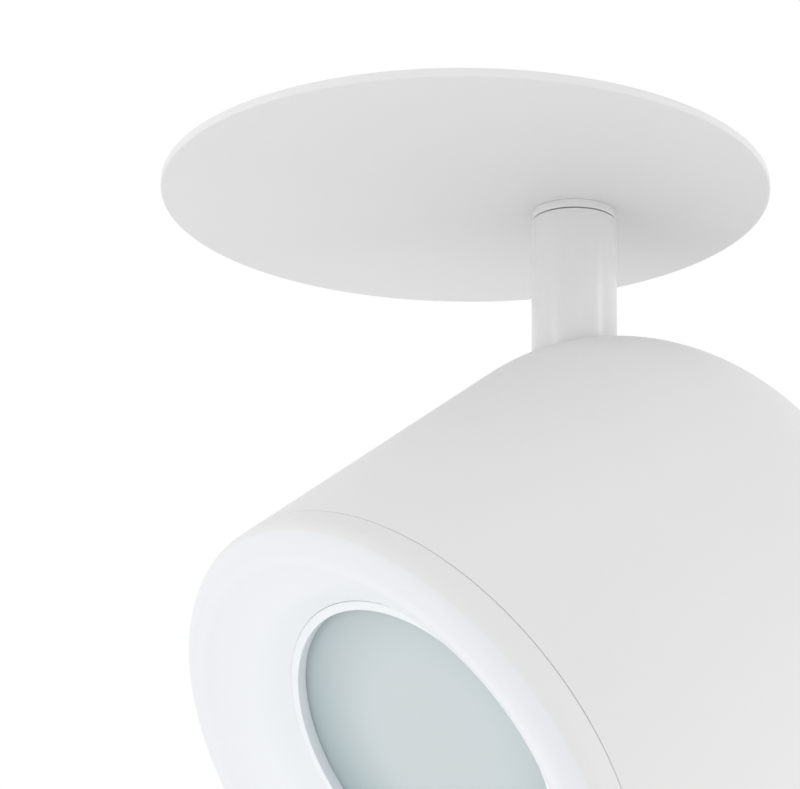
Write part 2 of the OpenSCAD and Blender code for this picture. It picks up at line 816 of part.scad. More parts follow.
lead_hole_y = 22;
fin_r = bore_r - ledge_w - 0.7;
fin_top = pivot_to_rear - head_wall - 4.4;
fin_round = rear_round - head_wall - 4.4;

module heat_sink() {
    color(alloy) in_head() difference() {
        union() {
            translate([0, 0, sink_front]) cylinder(r = bore_r - 0.4, h = sink_base);
            intersection() {
                rotate_extrude() domed(fin_r, sink_top - 1, fin_top, fin_round);
                for (side = [-1, 1])
                    for (i = [0 : fin_count - 1])
                        translate([side * (fin_clear + fin_t / 2 + i * fin_pitch) - fin_t / 2, -fin_r, sink_top - 1])
                            cube([fin_t, 2 * fin_r, fin_top - sink_top + 1]);
            }
        }
        sink_screw_places() translate([0, 0, sink_front - 1]) cylinder(r = m3_r + screw_play, h = sink_base + 2);
        bracket_screw_places() translate([0, 0, sink_top - 4.2]) cylinder(r = m3_r + close_fit, h = 5);
        led_screw_places() translate([0, 0, sink_front - 1]) cylinder(r = led_screw_r + close_fit, h = led_screw_bite + 1.5);
        translate([0, lead_hole_y, sink_front - 1]) cylinder(r = 2.6, h = sink_base + 2);
    }
}

module sink_screw_places() {
    for (i = [0 : 3])
        rotate([0, 0, 45 + 90 * i]) translate([screw_ring_r, 0, 0]) children();
}

module heat_sink_screws() {
    color(zinc) in_head() sink_screw_places()
        translate([0, 0, sink_front]) rotate([180, 0, 0])
            screw(m3_r, sink_base + ledge_t - 0.6, m3_head_r, m3_head_h);
}

module thermal_pad() {
    color("lightgray") in_head() difference() {
        translate([0, 0, sink_front - pad_t]) cylinder(r = board_r - 0.5, h = pad_t);
        led_screw_places() translate([0, 0, sink_front - 2]) cylinder(r = led_screw_r + 0.2, h = 4);
    }
}

module led_board() {
    color("white") in_head() difference() {
        translate([0, 0, board_z]) cylinder(r = board_r, h = board_t);
        led_screw_places() translate([0, 0, board_z - 1]) cylinder(r = led_screw_r + 0.2, h = 4);
    }
}

module led_emitter() {
    color("gold") in_head() translate([0, 0, emitter_z]) cylinder(r = emitter_r, h = emitter_t);
}

module led_holder() {
    color(nylon) in_head() difference() {
        ring(holder_r, holder_in, holder_z, board_z);
        led_screw_places() {
            translate([0, 0, holder_z - 1]) cylinder(r = led_screw_r + 0.2, h = holder_t + 2);
            translate([0, 0, holder_z - 1]) cylinder(r = led_well_r, h = led_screw_seat + 1);
        }
    }
}

module led_screw_places() {
    for (side = [-1, 1])
        translate([side * led_screw_out, 0, 0]) children();
}

module led_screws() {
    shank = board_z - holder_z - led_screw_seat + board_t + pad_t + led_screw_bite;
    color(zinc) in_head() led_screw_places()
        translate([0, 0, holder_z + led_screw_seat]) rotate([180, 0, 0])
            screw(led_screw_r, shank, led_well_r - 0.2, led_screw_seat - 0.2);
}

module head_leads() {
    run_z = sink_top + base_t + lead_r + 0.1;
    end_z = board_z - 1.6;
    for (side = [-1, 1])
        color(side < 0 ? "sienna" : "steelblue") in_head()
            wire([[side * lead_gap, channel_y + 6, run_z],
                [side * lead_gap, lead_hole_y, run_z],
                [side * lead_gap, lead_hole_y, end_z],
                [side * lead_gap, holder_r + 0.2, end_z]], lead_r);
}

// Radius of the reflector's inner face at a share of its depth from the throat
function dish_r(share) = dish_throat + (dish_mouth - dish_throat) * pow(share, 0.62);
dish_steps = 10;

module reflector() {
    depth = holder_z - dish_z;
    inside = [for (i = [0 : dish_steps]) [dish_r(i / dish_steps), holder_z - depth * i / dish_steps]];
    outside = [for (p = inside) [p[0] + dish_wall, p[1]]];
    color(alloy) in_head() rotate_extrude() {
        polygon(concat(inside, [for (i = [dish_steps : -1 : 0]) outside[i]]));
        translate([dish_mouth, dish_z]) square([glass_r - dish_mouth, dish_flange_t]);
    }
}

module glass_gasket() {
    color(black_rubber) in_head() ring(glass_r, lip_r - 0.3, gasket_z, gasket_z + gasket_t);
}

module front_glass() {
    color(glass_green) in_head() translate([0, 0, glass_z]) cylinder(r = glass_r, h = glass_t);
}

module glass_retainer() {
    edge = 0.5;
    color("white") in_head() rotate_extrude() {
        translate([lip_in, lip_front + edge]) square([lip_r - lip_in, glass_z - lip_front - edge]);
        translate([lip_in + edge, lip_front]) square([lip_r - lip_in - 2 * edge, 2 * edge]);
        for (r = [lip_in + edge, lip_r - edge])
            translate([r, lip_front + edge]) circle(r = edge);
        translate([lip_r - 0.01, lip_flange_z]) square([glass_r - lip_r, glass_z - lip_flange_z]);
    }
}

module clamp_ring() {
    color(zinc) in_head() ring(pocket_r - 0.05, dish_mouth + dish_wall + 0.6, clamp_z, clamp_z + clamp_h);
}

module front_ring() {
    root = 2;
    color(funnel_white) in_head() {
        rotate_extrude() difference() {
            union() {
                ring_outline();
                translate([pocket_r, funnel_floor - 1])
                    square([tube_wall, clamp_z + clamp_h - funnel_floor + 1]);
                translate([spigot_ring_r - spigot_ring_wall, seam_z - seam_gap - root])
                    square([spigot_ring_wall, spigot_ring_len + seam_gap + root]);
                translate([spigot_ring_r - spigot_ring_wall, seam_z - seam_gap - root])
                    square([spigot_ring_wall + 1, root]);
            }
            translate([0, lip_flange_z - 0.1]) square([pocket_r, clamp_z + clamp_h - lip_flange_z + 1]);
            translate([spigot_ring_r - seal_wire * 2, seal_z - seal_wire - 0.1])
                square([seal_wire * 3, 2 * seal_wire + 0.2]);
        }
        for (i = [0 : 2])
            rotate([0, 0, 60 + 120 * i]) intersection() {
                ring(spigot_ring_r + lug_out, spigot_ring_r - 1, lug_z, lug_z + lug_h);
                translate([spigot_ring_r - 2, -lug_half, lug_z - 1]) cube([lug_out + 4, 2 * lug_half, lug_h + 2]);
            }
    }
}

// Section of the ring's skin: outer band, rounded front edge and the funnel's arc
module ring_outline() {
    band_top = seam_z - seam_gap;
    band_t = head_wall;
    fill_x = pocket_r + tube_wall;
    translate([head_r - band_t, nose_z]) square([band_t, band_top - nose_z]);
    intersection() {
        translate([nose_r, nose_z]) circle(r = nose_round);
        translate([nose_r - nose_round, front_z]) square([2 * nose_round, nose_round]);
    }
    intersection() {
        difference() {
            translate(funnel_centre) circle(r = funnel_round);
            translate(funnel_centre) circle(r = funnel_round - funnel_wall);
        }
        polygon([funnel_centre, funnel_centre - (funnel_round + 1) * skin_dir,
            [funnel_in, front_z], [funnel_in, funnel_floor + 4]]);
    }
    intersection() {
        translate(funnel_centre) circle(r = funnel_round);
        translate([funnel_in, front_z]) square([fill_x - funnel_in, lip_flange_z - front_z]);
    }
}

module ring_seal() {
    color(black_rubber) in_head() rotate_extrude()
        translate([spigot_ring_r - seal_wire, seal_z]) circle(r = seal_wire - 0.02);
}

module head_housing() {
    color(paint) in_head() difference() {
        union() {
            rotate_extrude() difference() {
                domed(head_r, seam_z, pivot_to_rear, rear_round);
                translate([0, -1]) domed(bore_r, seam_z - 5, pivot_to_rear - head_wall + 1,
                    rear_round - head_wall);
            }
            ring(bore_r + 0.5, bore_r - ledge_w, sink_top, sink_top + ledge_t);
        }
        cylinder(r = slot_half + 0.03, h = slot_reach);
        rotate([tilt_max, 0, 0]) cylinder(r = slot_half + 0.03, h = slot_reach);
        translate([-slot_half, 0, 0]) rotate([90, 0, 90]) linear_extrude(2 * slot_half)
            polygon([[0, 0], [0, slot_reach], [-slot_reach * tan(tilt_max / 2), slot_reach],
                [-slot_reach * sin(tilt_max), slot_reach * cos(tilt_max)]]);
        sink_screw_places() translate([0, 0, sink_top - 1]) cylinder(r = m3_r + close_fit, h = ledge_t + 1 - 0.4);
        ring(bore_r + lug_out + 2 * lug_play, bore_r - 1, lug_z - lug_play, lug_z + lug_h + lug_play);
        for (i = [0 : 2])
            rotate([0, 0, 30 + 120 * i]) intersection() {
                ring(bore_r + lug_out + lug_play, bore_r - 1, seam_z - 1, lug_z + 1);
                translate([bore_r - 2, -lug_half - 1, seam_z - 2])
                    cube([lug_out + 4, 2 * lug_half + 2, lug_z - seam_z + 4]);
            }
    }
}

ceiling_plate();
recess_can();
can_screws();
cable_grommet();
terminal_block();
terminal_screws();
cable_clamp();
clamp_screws();
supply_leads();
clip_bracket_left();
clip_bracket_right();
clip_screws();
clip_pin_left();
clip_pin_right();
clip_arm_left();
clip_arm_right();
clip_pad_left();
clip_pad_right();
clip_spring_left();
clip_spring_right();
stem_collar();
collar_nut();
swivel_bush();
friction_washer();
disc_spring();
stop_pin();
stop_washer();
lock_nut();
swivel_spindle();
stem_tube();
stem_knuckle();
stem_leads();
tilt_bracket();
bracket_screws();
tilt_pin();
tilt_washers();
tilt_spring_washer();
tilt_nut();
heat_sink();
heat_sink_screws();
thermal_pad();
led_board();
led_emitter();
led_holder();
led_screws();
head_leads();
reflector();
glass_gasket();
front_glass();
glass_retainer();
clamp_ring();
front_ring();
ring_seal();
head_housing();
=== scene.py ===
"""Looks of a semi-recessed ceiling spotlight whose head tilts and turns on an off-centre stem.

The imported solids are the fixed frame. This file turns the smooth pieces again with finer walls and
softened edges, dresses every node, and sets the stage. It is laid out as an add-on and run as a script.
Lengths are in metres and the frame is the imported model's: +Z up into the ceiling, the origin at the
centre of the plate's ceiling face.
"""

import json
import math

import bmesh
import bpy
from bpy.props import FloatProperty, FloatVectorProperty, IntProperty, PointerProperty
from mathutils import Matrix, Vector

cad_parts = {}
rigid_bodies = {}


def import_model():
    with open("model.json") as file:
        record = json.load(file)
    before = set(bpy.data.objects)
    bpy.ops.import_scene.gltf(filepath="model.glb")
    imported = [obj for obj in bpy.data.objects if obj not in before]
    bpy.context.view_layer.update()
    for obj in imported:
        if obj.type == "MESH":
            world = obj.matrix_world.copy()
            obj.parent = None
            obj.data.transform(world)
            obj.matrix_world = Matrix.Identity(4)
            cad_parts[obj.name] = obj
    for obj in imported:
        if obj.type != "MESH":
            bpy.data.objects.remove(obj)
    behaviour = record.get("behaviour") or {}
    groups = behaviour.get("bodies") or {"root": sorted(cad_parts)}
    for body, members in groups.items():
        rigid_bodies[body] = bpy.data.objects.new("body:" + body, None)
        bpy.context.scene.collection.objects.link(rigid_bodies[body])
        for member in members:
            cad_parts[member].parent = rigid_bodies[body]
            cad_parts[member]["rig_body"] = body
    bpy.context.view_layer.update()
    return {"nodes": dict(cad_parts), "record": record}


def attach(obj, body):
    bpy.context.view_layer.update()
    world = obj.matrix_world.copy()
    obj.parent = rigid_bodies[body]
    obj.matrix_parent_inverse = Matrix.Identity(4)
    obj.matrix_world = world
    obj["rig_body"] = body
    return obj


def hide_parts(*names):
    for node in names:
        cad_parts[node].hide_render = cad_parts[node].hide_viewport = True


bl_info = {
    "name": "Ceiling spotlight",
    "version": (1, 0, 0),
    "blender": (4, 5, 0),
    "location": "3D View > Sidebar > Spotlight",
    "description": "Turns, fits and finishes the pieces of an adjustable ceiling spotlight",
    "category": "Add Mesh",
}

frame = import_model()
MM = 0.001
MERGE = 2e-7  # points closer than this are one point
FIT = 0.00003  # play between a hole cut here and the piece in it
ORIGIN = Matrix.Identity(4)
MOUNTS = {mount["name"]: mount for mount in frame["record"]["mounts"]}
JOINTS = {joint["name"]: joint for joint in frame["record"]["behaviour"]["joints"]}
COLLAR = MOUNTS["cutout_spigot"]["dims"]
PIVOT = Vector(JOINTS["head_tilt"]["pos_m"])
TILT_RANGE = JOINTS["head_tilt"]["range_deg"]
SLOTS = {part["node"]: part["material_slot"] for part in frame["record"]["subparts"]}


def linear(code):
    """The linear colour of an sRGB hex code, with full alpha."""
    parts = [int(code[i:i + 2], 16) / 255 for i in (1, 3, 5)]
    return (*[c / 12.92 if c <= 0.04045 else ((c + 0.055) / 1.055) ** 2.4 for c in parts], 1.0)


def length(name, description, millimetres):
    """A distance property with its default given in millimetres."""
    return FloatProperty(name=name, description=description, default=millimetres * MM,
                         subtype="DISTANCE", unit="LENGTH", precision=5)


def angle(name, description, degrees):
    """An angle property with its default given in degrees."""
    return FloatProperty(name=name, description=description, default=math.radians(degrees),
                         subtype="ANGLE", unit="ROTATION")


def tint(name, description, code):
    """A colour property with its default given as an sRGB hex code."""
    return FloatVectorProperty(name=name, description=description, default=linear(code), size=4,
                               subtype="COLOR", min=0, max=1)


class SpotlightSizes(bpy.types.PropertyGroup):
    """Sizes of the turned pieces. They repeat the solids' own sizes."""

    facets: IntProperty(name="Facets", description="Steps around each turned piece", default=288)
    plate_radius: length("Plate radius", "Radius of the visible ceiling plate", 68.4)
    plate_depth: length("Plate thickness", "Thickness of the ceiling plate", 1.8)
    plate_edge: length("Plate edge", "Rounding of the plate's lower edge", 0.4)
    spigot_radius: length("Collar radius", "Outside of the collar in the ceiling cut-out", COLLAR["r_mm"])
    spigot_wall: length("Collar wall", "Wall of that collar", 2)
    spigot_height: length("Collar height", "Height of that collar", COLLAR["length_mm"])
    can_radius: length("Can radius", "Outside of the can above the plate", 40.5)
    can_top_radius: length("Can top", "Radius of the can's flat top", 28)
    can_height: length("Can height", "Height of the can above the ceiling face", 17)
    can_shoulder: length("Can shoulder", "Height of the can's sloping shoulder", 5.8)
    can_wall: length("Can wall", "Sheet thickness of the can", 1.2)
    flange_radius: length("Can flange", "Outside of the can's flange", 46.7)
    vent_length: length("Vent length", "Length of a vent slot", 11)
    vent_width: length("Vent width", "Width of a vent slot", 2.4)
    vent_step: length("Vent step", "Distance between vent slots", 5)
    vent_count: IntProperty(name="Vents", description="Number of vent slots", default=5, min=1, max=5)
    grommet_out: length("Grommet place", "Distance of the cable grommet from the plate's centre", 19)
    grommet_bore: length("Grommet bore", "Radius of the cable grommet's bore",
                         MOUNTS["cable_entry"]["dims"]["r_mm"])
    stem_radius: length("Stem radius", "Outside of the stem tube", 9.6)
    stem_bore: length("Stem bore", "Inside radius of the stem tube", 7.8)
    collar_height: length("Fixed collar", "Height of the fixed collar under the plate", 1.9)
    groove: length("Groove", "Open groove between the fixed collar and the stem", 0.3)
    tube_end: length("Stem end", "Distance of the tube's lower end above the pivot", 12)
    tilt: angle("Tilt", "Rest tilt of the head up from straight down", -TILT_RANGE[0])
    tilt_max: angle("Largest tilt", "Tilt at which the shell's slot ends", TILT_RANGE[1] - TILT_RANGE[0])
    head_radius: length("Head radius", "Outside of the lamp head", 58.7)
    head_wall: length("Head wall", "Wall of the head's shell", 2.6)
    seam: length("Seam", "Distance from the pivot forward to the front ring", 53.4)
    rear: length("Rear", "Distance from the pivot back to the rear end", 65)
    rear_round: length("Rear rounding", "Rounding of the rear end", 44)
    ledge_width: length("Ledge width", "Width of the ledge that carries the heat sink", 6.6)
    ledge_front: length("Ledge place", "Distance from the pivot forward to that ledge's front face", 13)
    ledge_thickness: length("Ledge thickness", "Thickness of that ledge", 3)
    sleeve_radius: length("Sleeve", "Outside of the fixed collar's sleeve through the plate", 8.63)
    sleeve_bore: length("Sleeve bore", "Inside radius of that sleeve", 7.83)
    sleeve_top: length("Sleeve top", "Height of that sleeve above the ceiling face", 3.4)
    screw_head: length("Screw head", "Radius of a screw's head", 2.4)
    screw_height: length("Screw height", "Height of a screw's head", 1.4)
    screw_core: length("Screw shank", "Radius of a screw's shank", 1.4)
    screw_bite: length("Screw bite", "How far a screw goes into the plate", 1.1)
    bracket_sheet: length("Bracket sheet", "Sheet thickness of a clip bracket", 1)
    clip_bearing: angle("Clip bearing", "Turn of the clips away from the line to the stem", 11)
    funnel_floor: length("Funnel floor", "Height of the funnel's bottom behind the seam", 3)
    funnel_wall: length("Funnel wall", "Wall of the funnel", 2.6)
    funnel_sheet: length("Funnel bottom", "Thickness of the funnel's bottom around the lip", 0.7)
    skirt_radius: length("Skirt radius", "Outside of the ring's skirt that plugs into the shell", 56)
    skirt_wall: length("Skirt wall", "Wall of that skirt", 2.4)
    skirt_length: length("Skirt length", "Distance from the seam back to that skirt's end", 7)
    pocket_play: length("Glass play", "Gap between the front glass and the tube around it", 0.3)
    pocket_wall: length("Tube wall", "Wall of that tube", 2.7)
    pocket_end: length("Tube end", "Distance from the pivot forward to that tube's rear end", 39)
    slot_half: length("Slot half width", "Half width of the slot for the stem", 10.6)
    ring_depth: length("Ring depth", "Distance from the seam to the front plane", 9.3)
    nose_round: length("Front rounding", "Rounding of the ring's front edge", 5.6)
    funnel_turn: angle("Funnel turn", "Angle at which the rounded edge passes into the funnel", 28)
    paint_line: angle("Paint line", "Turn around the rounded edge at which the funnel's paint starts", 33)
    seam_gap: length("Seam gap", "Width of the shadow gap at the seam", 0.15)
    lip_radius: length("Lip radius", "Outside of the lip that holds the glass", 36.8)
    lip_bore: length("Lip bore", "Inside radius of that lip", 34.8)
    lip_rise: length("Lip rise", "Height of the lip above the funnel's bottom", 0.3)
    lip_play: length("Lip play", "Gap between the lip and the funnel around it", 0.02)
    lip_seat: length("Lip seat", "Height of the lip's flange above the funnel's bottom", 0.8)
    lip_flange: length("Lip flange", "Thickness of the lip's flange under the glass", 1.4)
    glass_radius: length("Glass radius", "Radius of the front glass", 40)
    glass_depth: length("Glass thickness", "Thickness of the front glass", 3)
    # painted light: the lightest place of the pane's painted shade, set off its centre
    glass_painted_light_spot: length("Glass bright spot", "Distance of the pane's lightest place from its centre", 9)


class SpotlightColours(bpy.types.PropertyGroup):
    """Base colours of the finishes."""

    paint: tint("Body paint", "Matt white powder coat of plate, stem and head", "#E0E0E0")
    # its cool tint is partly painted reflection of the glass
    ring: tint("Ring paint", "Satin white of the funnel's rounded edge", "#E2E4E7")
    # painted light: whiter and cooler for the light deep in the funnel
    funnel: tint("Deep funnel paint", "White of the funnel's inner part", "#F1F3F6")
    lip: tint("Lip enamel", "Gloss white of the lip", "#EBEEF1")
    glass: tint("Front glass", "Grey green of the frosted glass", "#CFD8DA")
    # painted shade: the pane's tone towards its edge
    glass_painted_shade: tint("Glass rim", "Deeper tone of the glass towards its edge", "#A3B5B8")
    zinc: tint("Zinc plate", "Bright zinc on sheet parts and screws", "#B9BDC2")
    steel: tint("Spring steel", "Bare spring steel", "#8C8F94")
    nylon: tint("Nylon", "Natural moulded nylon", "#E4E1D8")
    alloy: tint("Cast alloy", "Bare aluminium of the heat sink", "#B4B7BA")


def named(group, key):
    """A value from one of the two property groups."""
    return getattr(getattr(bpy.context.scene, group), key)


def size(key):
    """One of the sizes."""
    return named("spotlight_sizes", key)


def colour(key):
    """One of the colours."""
    return tuple(named("spotlight_colours", key))


# Places of the bodies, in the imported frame

def plate_place():
    """The plate's own frame, whose +Y points from the plate's centre to the stem."""
    return Matrix.Rotation(-math.atan2(PIVOT.x, PIVOT.y), 4, "Z")


def stem_place():
    """The stem's own frame: its axis, with z = 0 at the tilt pivot."""
    return Matrix.Translation(PIVOT)


def head_place():
    """The head's own frame: the pivot is the origin and the head looks along -Z."""
    return stem_place() @ Matrix.Rotation(-size("tilt"), 4, "X")


# Node trees

def add(tree, kind, links=None, **settings):
    """Adds one node, with its settings, and its inputs given as values or as other nodes' outputs."""
    node = tree.nodes.new(kind)
    for key, value in settings.items():
        setattr(node, key, value)
    for key, value in (links or {}).items():
        if isinstance(value, bpy.types.NodeSocket):
            tree.links.new(value, node.inputs[key])
        else:
            node.inputs[key].default_value = value
    return node


def new_tree(name, inputs):
    """A geometry node tree with a mesh in, named inputs, a finish and a mesh out."""
    tree = bpy.data.node_groups.new(name, "GeometryNodeTree")
    tree.interface.new_socket("Geometry", in_out="INPUT", socket_type="NodeSocketGeometry")
    for label, kind in (*inputs, ("Finish", "NodeSocketMaterial")):
        tree.interface.new_socket(label, in_out="INPUT", socket_type=kind)
    tree.interface.new_socket("Geometry", in_out="OUTPUT", socket_type="NodeSocketGeometry")
    return tree, tree.nodes.new("NodeGroupInput"), tree.nodes.new("NodeGroupOutput")


def close_tree(tree, given, out, geometry):
    """Ends a geometry node tree: instances made real, and the finish put on."""
    real = add(tree, "GeometryNodeRealizeInstances", {"Geometry": geometry})
    coated = add(tree, "GeometryNodeSetMaterial", {
        "Geometry": real.outputs["Geometry"], "Material": given.outputs["Finish"]})
    tree.links.new(coated.outputs["Geometry"], out.inputs["Geometry"])


def evaluated(source, name, tree=None, values=None):
    """The mesh that a source object gives, with a node tree run on it first where one is named."""
    if tree:
        modifier = source.modifiers.new(tree.name, "NODES")
        modifier.node_group = tree
        for item in tree.interface.items_tree:
            if item.in_out == "INPUT" and item.name in (values or {}):
                modifier[item.identifier] = values[item.name]
    bpy.context.view_layer.update()
    graph = bpy.context.evaluated_depsgraph_get()
    mesh = bpy.data.meshes.new_from_object(source.evaluated_get(graph), depsgraph=graph)
    source.modifiers.clear()
    mesh.name = name
    return mesh


def shown(mesh, name, place=ORIGIN):
    """A new object for a mesh, with its place put into the mesh."""
    mesh.transform(place)
    obj = bpy.data.objects.new(name, mesh)
    bpy.context.scene.collection.objects.link(obj)
    return obj


def discard(*objects):
    """Removes helper objects."""
    for obj in objects:
        bpy.data.objects.remove(obj)


def outward(mesh, sharp=30):
    """Merges doubles, turns faces outwards and keeps only real corners sharp."""
    work = bmesh.new()
    work.from_mesh(mesh)
    bmesh.ops.remove_doubles(work, verts=work.verts, dist=MERGE)
    bmesh.ops.dissolve_degenerate(work, edges=work.edges, dist=MERGE / 2)
    bmesh.ops.recalc_face_normals(work, faces=work.faces)
    if work.calc_volume(signed=True) < 0:
        bmesh.ops.reverse_faces(work, faces=work.faces)
    work.to_mesh(mesh)
    work.free()
    for face in mesh.polygons:
        face.use_smooth = True
    mesh.set_sharp_from_angle(angle=math.radians(sharp))


def turning_tree():
    """Turns a section, drawn in the XZ plane, once around the Z axis."""
    tree, given, out = new_tree("Turned section", [
        ("Facets", "NodeSocketInt"), ("Guide radius", "NodeSocketFloat")])
    section = add(tree, "GeometryNodeMeshToCurve", {"Mesh": given.outputs["Geometry"]})
    guide = add(tree, "GeometryNodeCurvePrimitiveCircle", {
        "Resolution": given.outputs["Facets"], "Radius": given.outputs["Guide radius"]})
    inward = add(tree, "ShaderNodeMath", {0: given.outputs["Guide radius"], 1: -1.0}, operation="MULTIPLY")
    shift = add(tree, "ShaderNodeCombineXYZ", {"X": inward.outputs[0]})
    # the guide's frame takes the section's x outwards and its y downwards
    flat = add(tree, "GeometryNodeTransform", {
        "Geometry": section.outputs["Curve"], "Rotation": (math.radians(90), 0, 0)})
    moved = add(tree, "GeometryNodeTransform", {
        "Geometry": flat.outputs["Geometry"], "Translation": shift.outputs["Vector"]})
    skin = add(tree, "GeometryNodeCurveToMesh", {
        "Curve": guide.outputs["Curve"], "Profile Curve": moved.outputs["Geometry"]})
    joined = add(tree, "GeometryNodeMergeByDistance", {"Geometry": skin.outputs["Mesh"], "Distance": MERGE})
    close_tree(tree, given, out, joined.outputs["Geometry"])
    return tree


def arc(centre, radius, start, end, steps):
    """Points of an arc in the section plane, from one angle to another, in degrees."""
    return [(centre[0] + radius * math.cos(math.radians(start + (end - start) * i / steps)),
             centre[1] + radius * math.sin(math.radians(start + (end - start) * i / steps)))
            for i in range(steps + 1)]


def softened(points, closed, edge):
    """Rounds the section's sharp corners by a small radius, and leaves its arcs alone."""
    smooth_turn, share = math.radians(24), 0.45
    result = []
    count = len(points)
    for i, here in enumerate(points):
        if not closed and i in (0, count - 1):
            result.append(here)
            continue
        before, after = Vector(points[i - 1]), Vector(points[(i + 1) % count])
        corner = Vector(here)
        back, ahead = before - corner, after - corner
        room = min(back.length, ahead.length)
        if back.angle(-ahead, 0) < smooth_turn or room < MERGE / 2:
            result.append(here)
            continue
        reach = min(edge, room * share)
        first, last = corner + back.normalized() * reach, corner + ahead.normalized() * reach
        for t in (0, 0.25, 0.5, 0.75, 1):
            result.append(tuple(first * (1 - t) ** 2 + corner * 2 * t * (1 - t) + last * t * t))
    return result


def marked(mesh, value):
    """Stores a number at each point of a turned mesh, from the point's place, for its paint."""
    layer = mesh.attributes.new("turn", "FLOAT", "POINT")
    for corner, entry in zip(mesh.vertices, layer.data):
        entry.value = value(corner.co)


def turned(name, node, section, place=ORIGIN, closed=True, edge=0.0002, value=None):
    """A turned piece in its node's finish, from its section of (radius, height) points."""
    points = softened(section, closed, edge)
    mesh = bpy.data.meshes.new(name)
    edges = [(i, i + 1) for i in range(len(points) - 1)] + ([(len(points) - 1, 0)] if closed else [])
    mesh.from_pydata([(r, 0, z) for r, z in points], edges, [])
    draft = shown(mesh, name + "_section")
    result = evaluated(draft, name, turning_tree(), {
        "Facets": size("facets"), "Guide radius": 0.02, "Finish": finish(SLOTS[node])})
    discard(draft)
    outward(result)
    if value:
        marked(result, value)
    return shown(result, name, place)


def cut(piece, *cutters):
    """Cuts closed shapes out of a piece and keeps the result as a plain mesh."""
    for cutter in cutters:
        step = piece.modifiers.new("cut", "BOOLEAN")
        step.operation, step.solver, step.object = "DIFFERENCE", "EXACT", cutter
        step.use_self = True
    mesh = evaluated(piece, piece.name)
    piece.data = mesh
    discard(*cutters)
    outward(mesh)


def prism(name, outline, low, high, place=ORIGIN):
    """A closed prism over an outline in the XY plane."""
    work = bmesh.new()
    bottom = [work.verts.new((x, y, low)) for x, y in outline]
    top = [work.verts.new((x, y, high)) for x, y in outline]
    work.faces.new(bottom[::-1])
    work.faces.new(top)
    for i in range(len(outline)):
        j = (i + 1) % len(outline)
        work.faces.new((bottom[i], bottom[j], top[j], top[i]))
    mesh = bpy.data.meshes.new(name)
    work.to_mesh(mesh)
    work.free()
    return shown(mesh, name, place)


def round_outline(radius, steps=128):
    """The corners of a circle."""
    turns = [2 * math.pi * (i + 0.5) / steps for i in range(steps)]
    return [(radius * math.cos(turn), radius * math.sin(turn)) for turn in turns]


def eased(node, edge, sides=2):
    """A solid's own mesh with its real edges broken by a small radius."""
    source = frame["nodes"][node]
    mesh = source.data.copy()
    mesh.transform(source.matrix_world)
    work = bmesh.new()
    work.from_mesh(mesh)
    bmesh.ops.remove_doubles(work, verts=work.verts, dist=1e-6)
    bmesh.ops.dissolve_limit(work, angle_limit=math.radians(0.5), verts=work.verts, edges=work.edges)
    work.to_mesh(mesh)
    work.free()
    piece = shown(mesh, node + "_eased")
    bevel = piece.modifiers.new("edge", "BEVEL")
    bevel.width, bevel.segments, bevel.limit_method = edge, sides, "ANGLE"
    bevel.angle_limit = math.radians(40)
    piece.data = evaluated(piece, node + "_eased")
    outward(piece.data)
    return piece


def vent_tree():
    """Cuts a row of round-ended slots down through a sheet part."""
    tree, given, out = new_tree("Vent slots", [
        ("Count", "NodeSocketInt"), ("Step", "NodeSocketFloat"), ("Length", "NodeSocketFloat"),
        ("Width", "NodeSocketFloat"), ("Depth", "NodeSocketFloat"), ("First slot", "NodeSocketVector")])
    value = given.outputs
    box = add(tree, "GeometryNodeCurvePrimitiveQuadrilateral", {
        "Width": value["Length"], "Height": value["Width"]}, mode="RECTANGLE")
    half = add(tree, "ShaderNodeMath", {0: value["Width"], 1: 0.499}, operation="MULTIPLY")
    ends = add(tree, "GeometryNodeFilletCurve", {
        "Curve": box.outputs["Curve"], "Radius": half.outputs[0], "Count": 8}, mode="POLY")
    flat = add(tree, "GeometryNodeFillCurve", {"Curve": ends.outputs["Curve"]}, mode="NGONS")
    tall = add(tree, "GeometryNodeExtrudeMesh", {
        "Mesh": flat.outputs["Mesh"], "Offset Scale": value["Depth"], "Individual": False})
    under = add(tree, "GeometryNodeFlipFaces", {"Mesh": flat.outputs["Mesh"]})
    both = add(tree, "GeometryNodeJoinGeometry")
    tree.links.new(tall.outputs["Mesh"], both.inputs[0])
    tree.links.new(under.outputs["Mesh"], both.inputs[0])
    slot = add(tree, "GeometryNodeMergeByDistance", {"Geometry": both.outputs[0], "Distance": MERGE / 2})
    step = add(tree, "ShaderNodeCombineXYZ", {"Y": value["Step"]})
    row = add(tree, "GeometryNodeMeshLine", {
        "Count": value["Count"], "Start Location": value["First slot"], "Offset": step.outputs[0]},
        mode="OFFSET")
    slots = add(tree, "GeometryNodeInstanceOnPoints", {
        "Points": row.outputs["Mesh"], "Instance": slot.outputs["Geometry"]})
    solid = add(tree, "GeometryNodeRealizeInstances", {"Geometry": slots.outputs["Instances"]})
    holed = add(tree, "GeometryNodeMeshBoolean", {
        "Mesh 1": given.outputs["Geometry"]}, operation="DIFFERENCE", solver="EXACT")
    tree.links.new(solid.outputs["Geometry"], holed.inputs["Mesh 2"])
    close_tree(tree, given, out, holed.outputs["Mesh"])
    return tree


def screw_tree():
    """Puts one screw at every point of a mesh, each turned a little further than the last."""
    tree, given, out = new_tree("Screws at points", [
        ("Screw", "NodeSocketObject"), ("Slot turn", "NodeSocketFloat")])
    one = add(tree, "GeometryNodeObjectInfo", {"Object": given.outputs["Screw"]})
    order = add(tree, "GeometryNodeInputIndex")
    turn = add(tree, "ShaderNodeMath", {0: order.outputs[0], 1: given.outputs["Slot turn"]},
               operation="MULTIPLY")
    spin = add(tree, "ShaderNodeCombineXYZ", {"Z": turn.outputs[0]})
    placed = add(tree, "GeometryNodeInstanceOnPoints", {
        "Points": given.outputs["Geometry"], "Instance": one.outputs["Geometry"],
        "Rotation": spin.outputs[0]})
    close_tree(tree, given, out, placed.outputs["Instances"])
    return tree


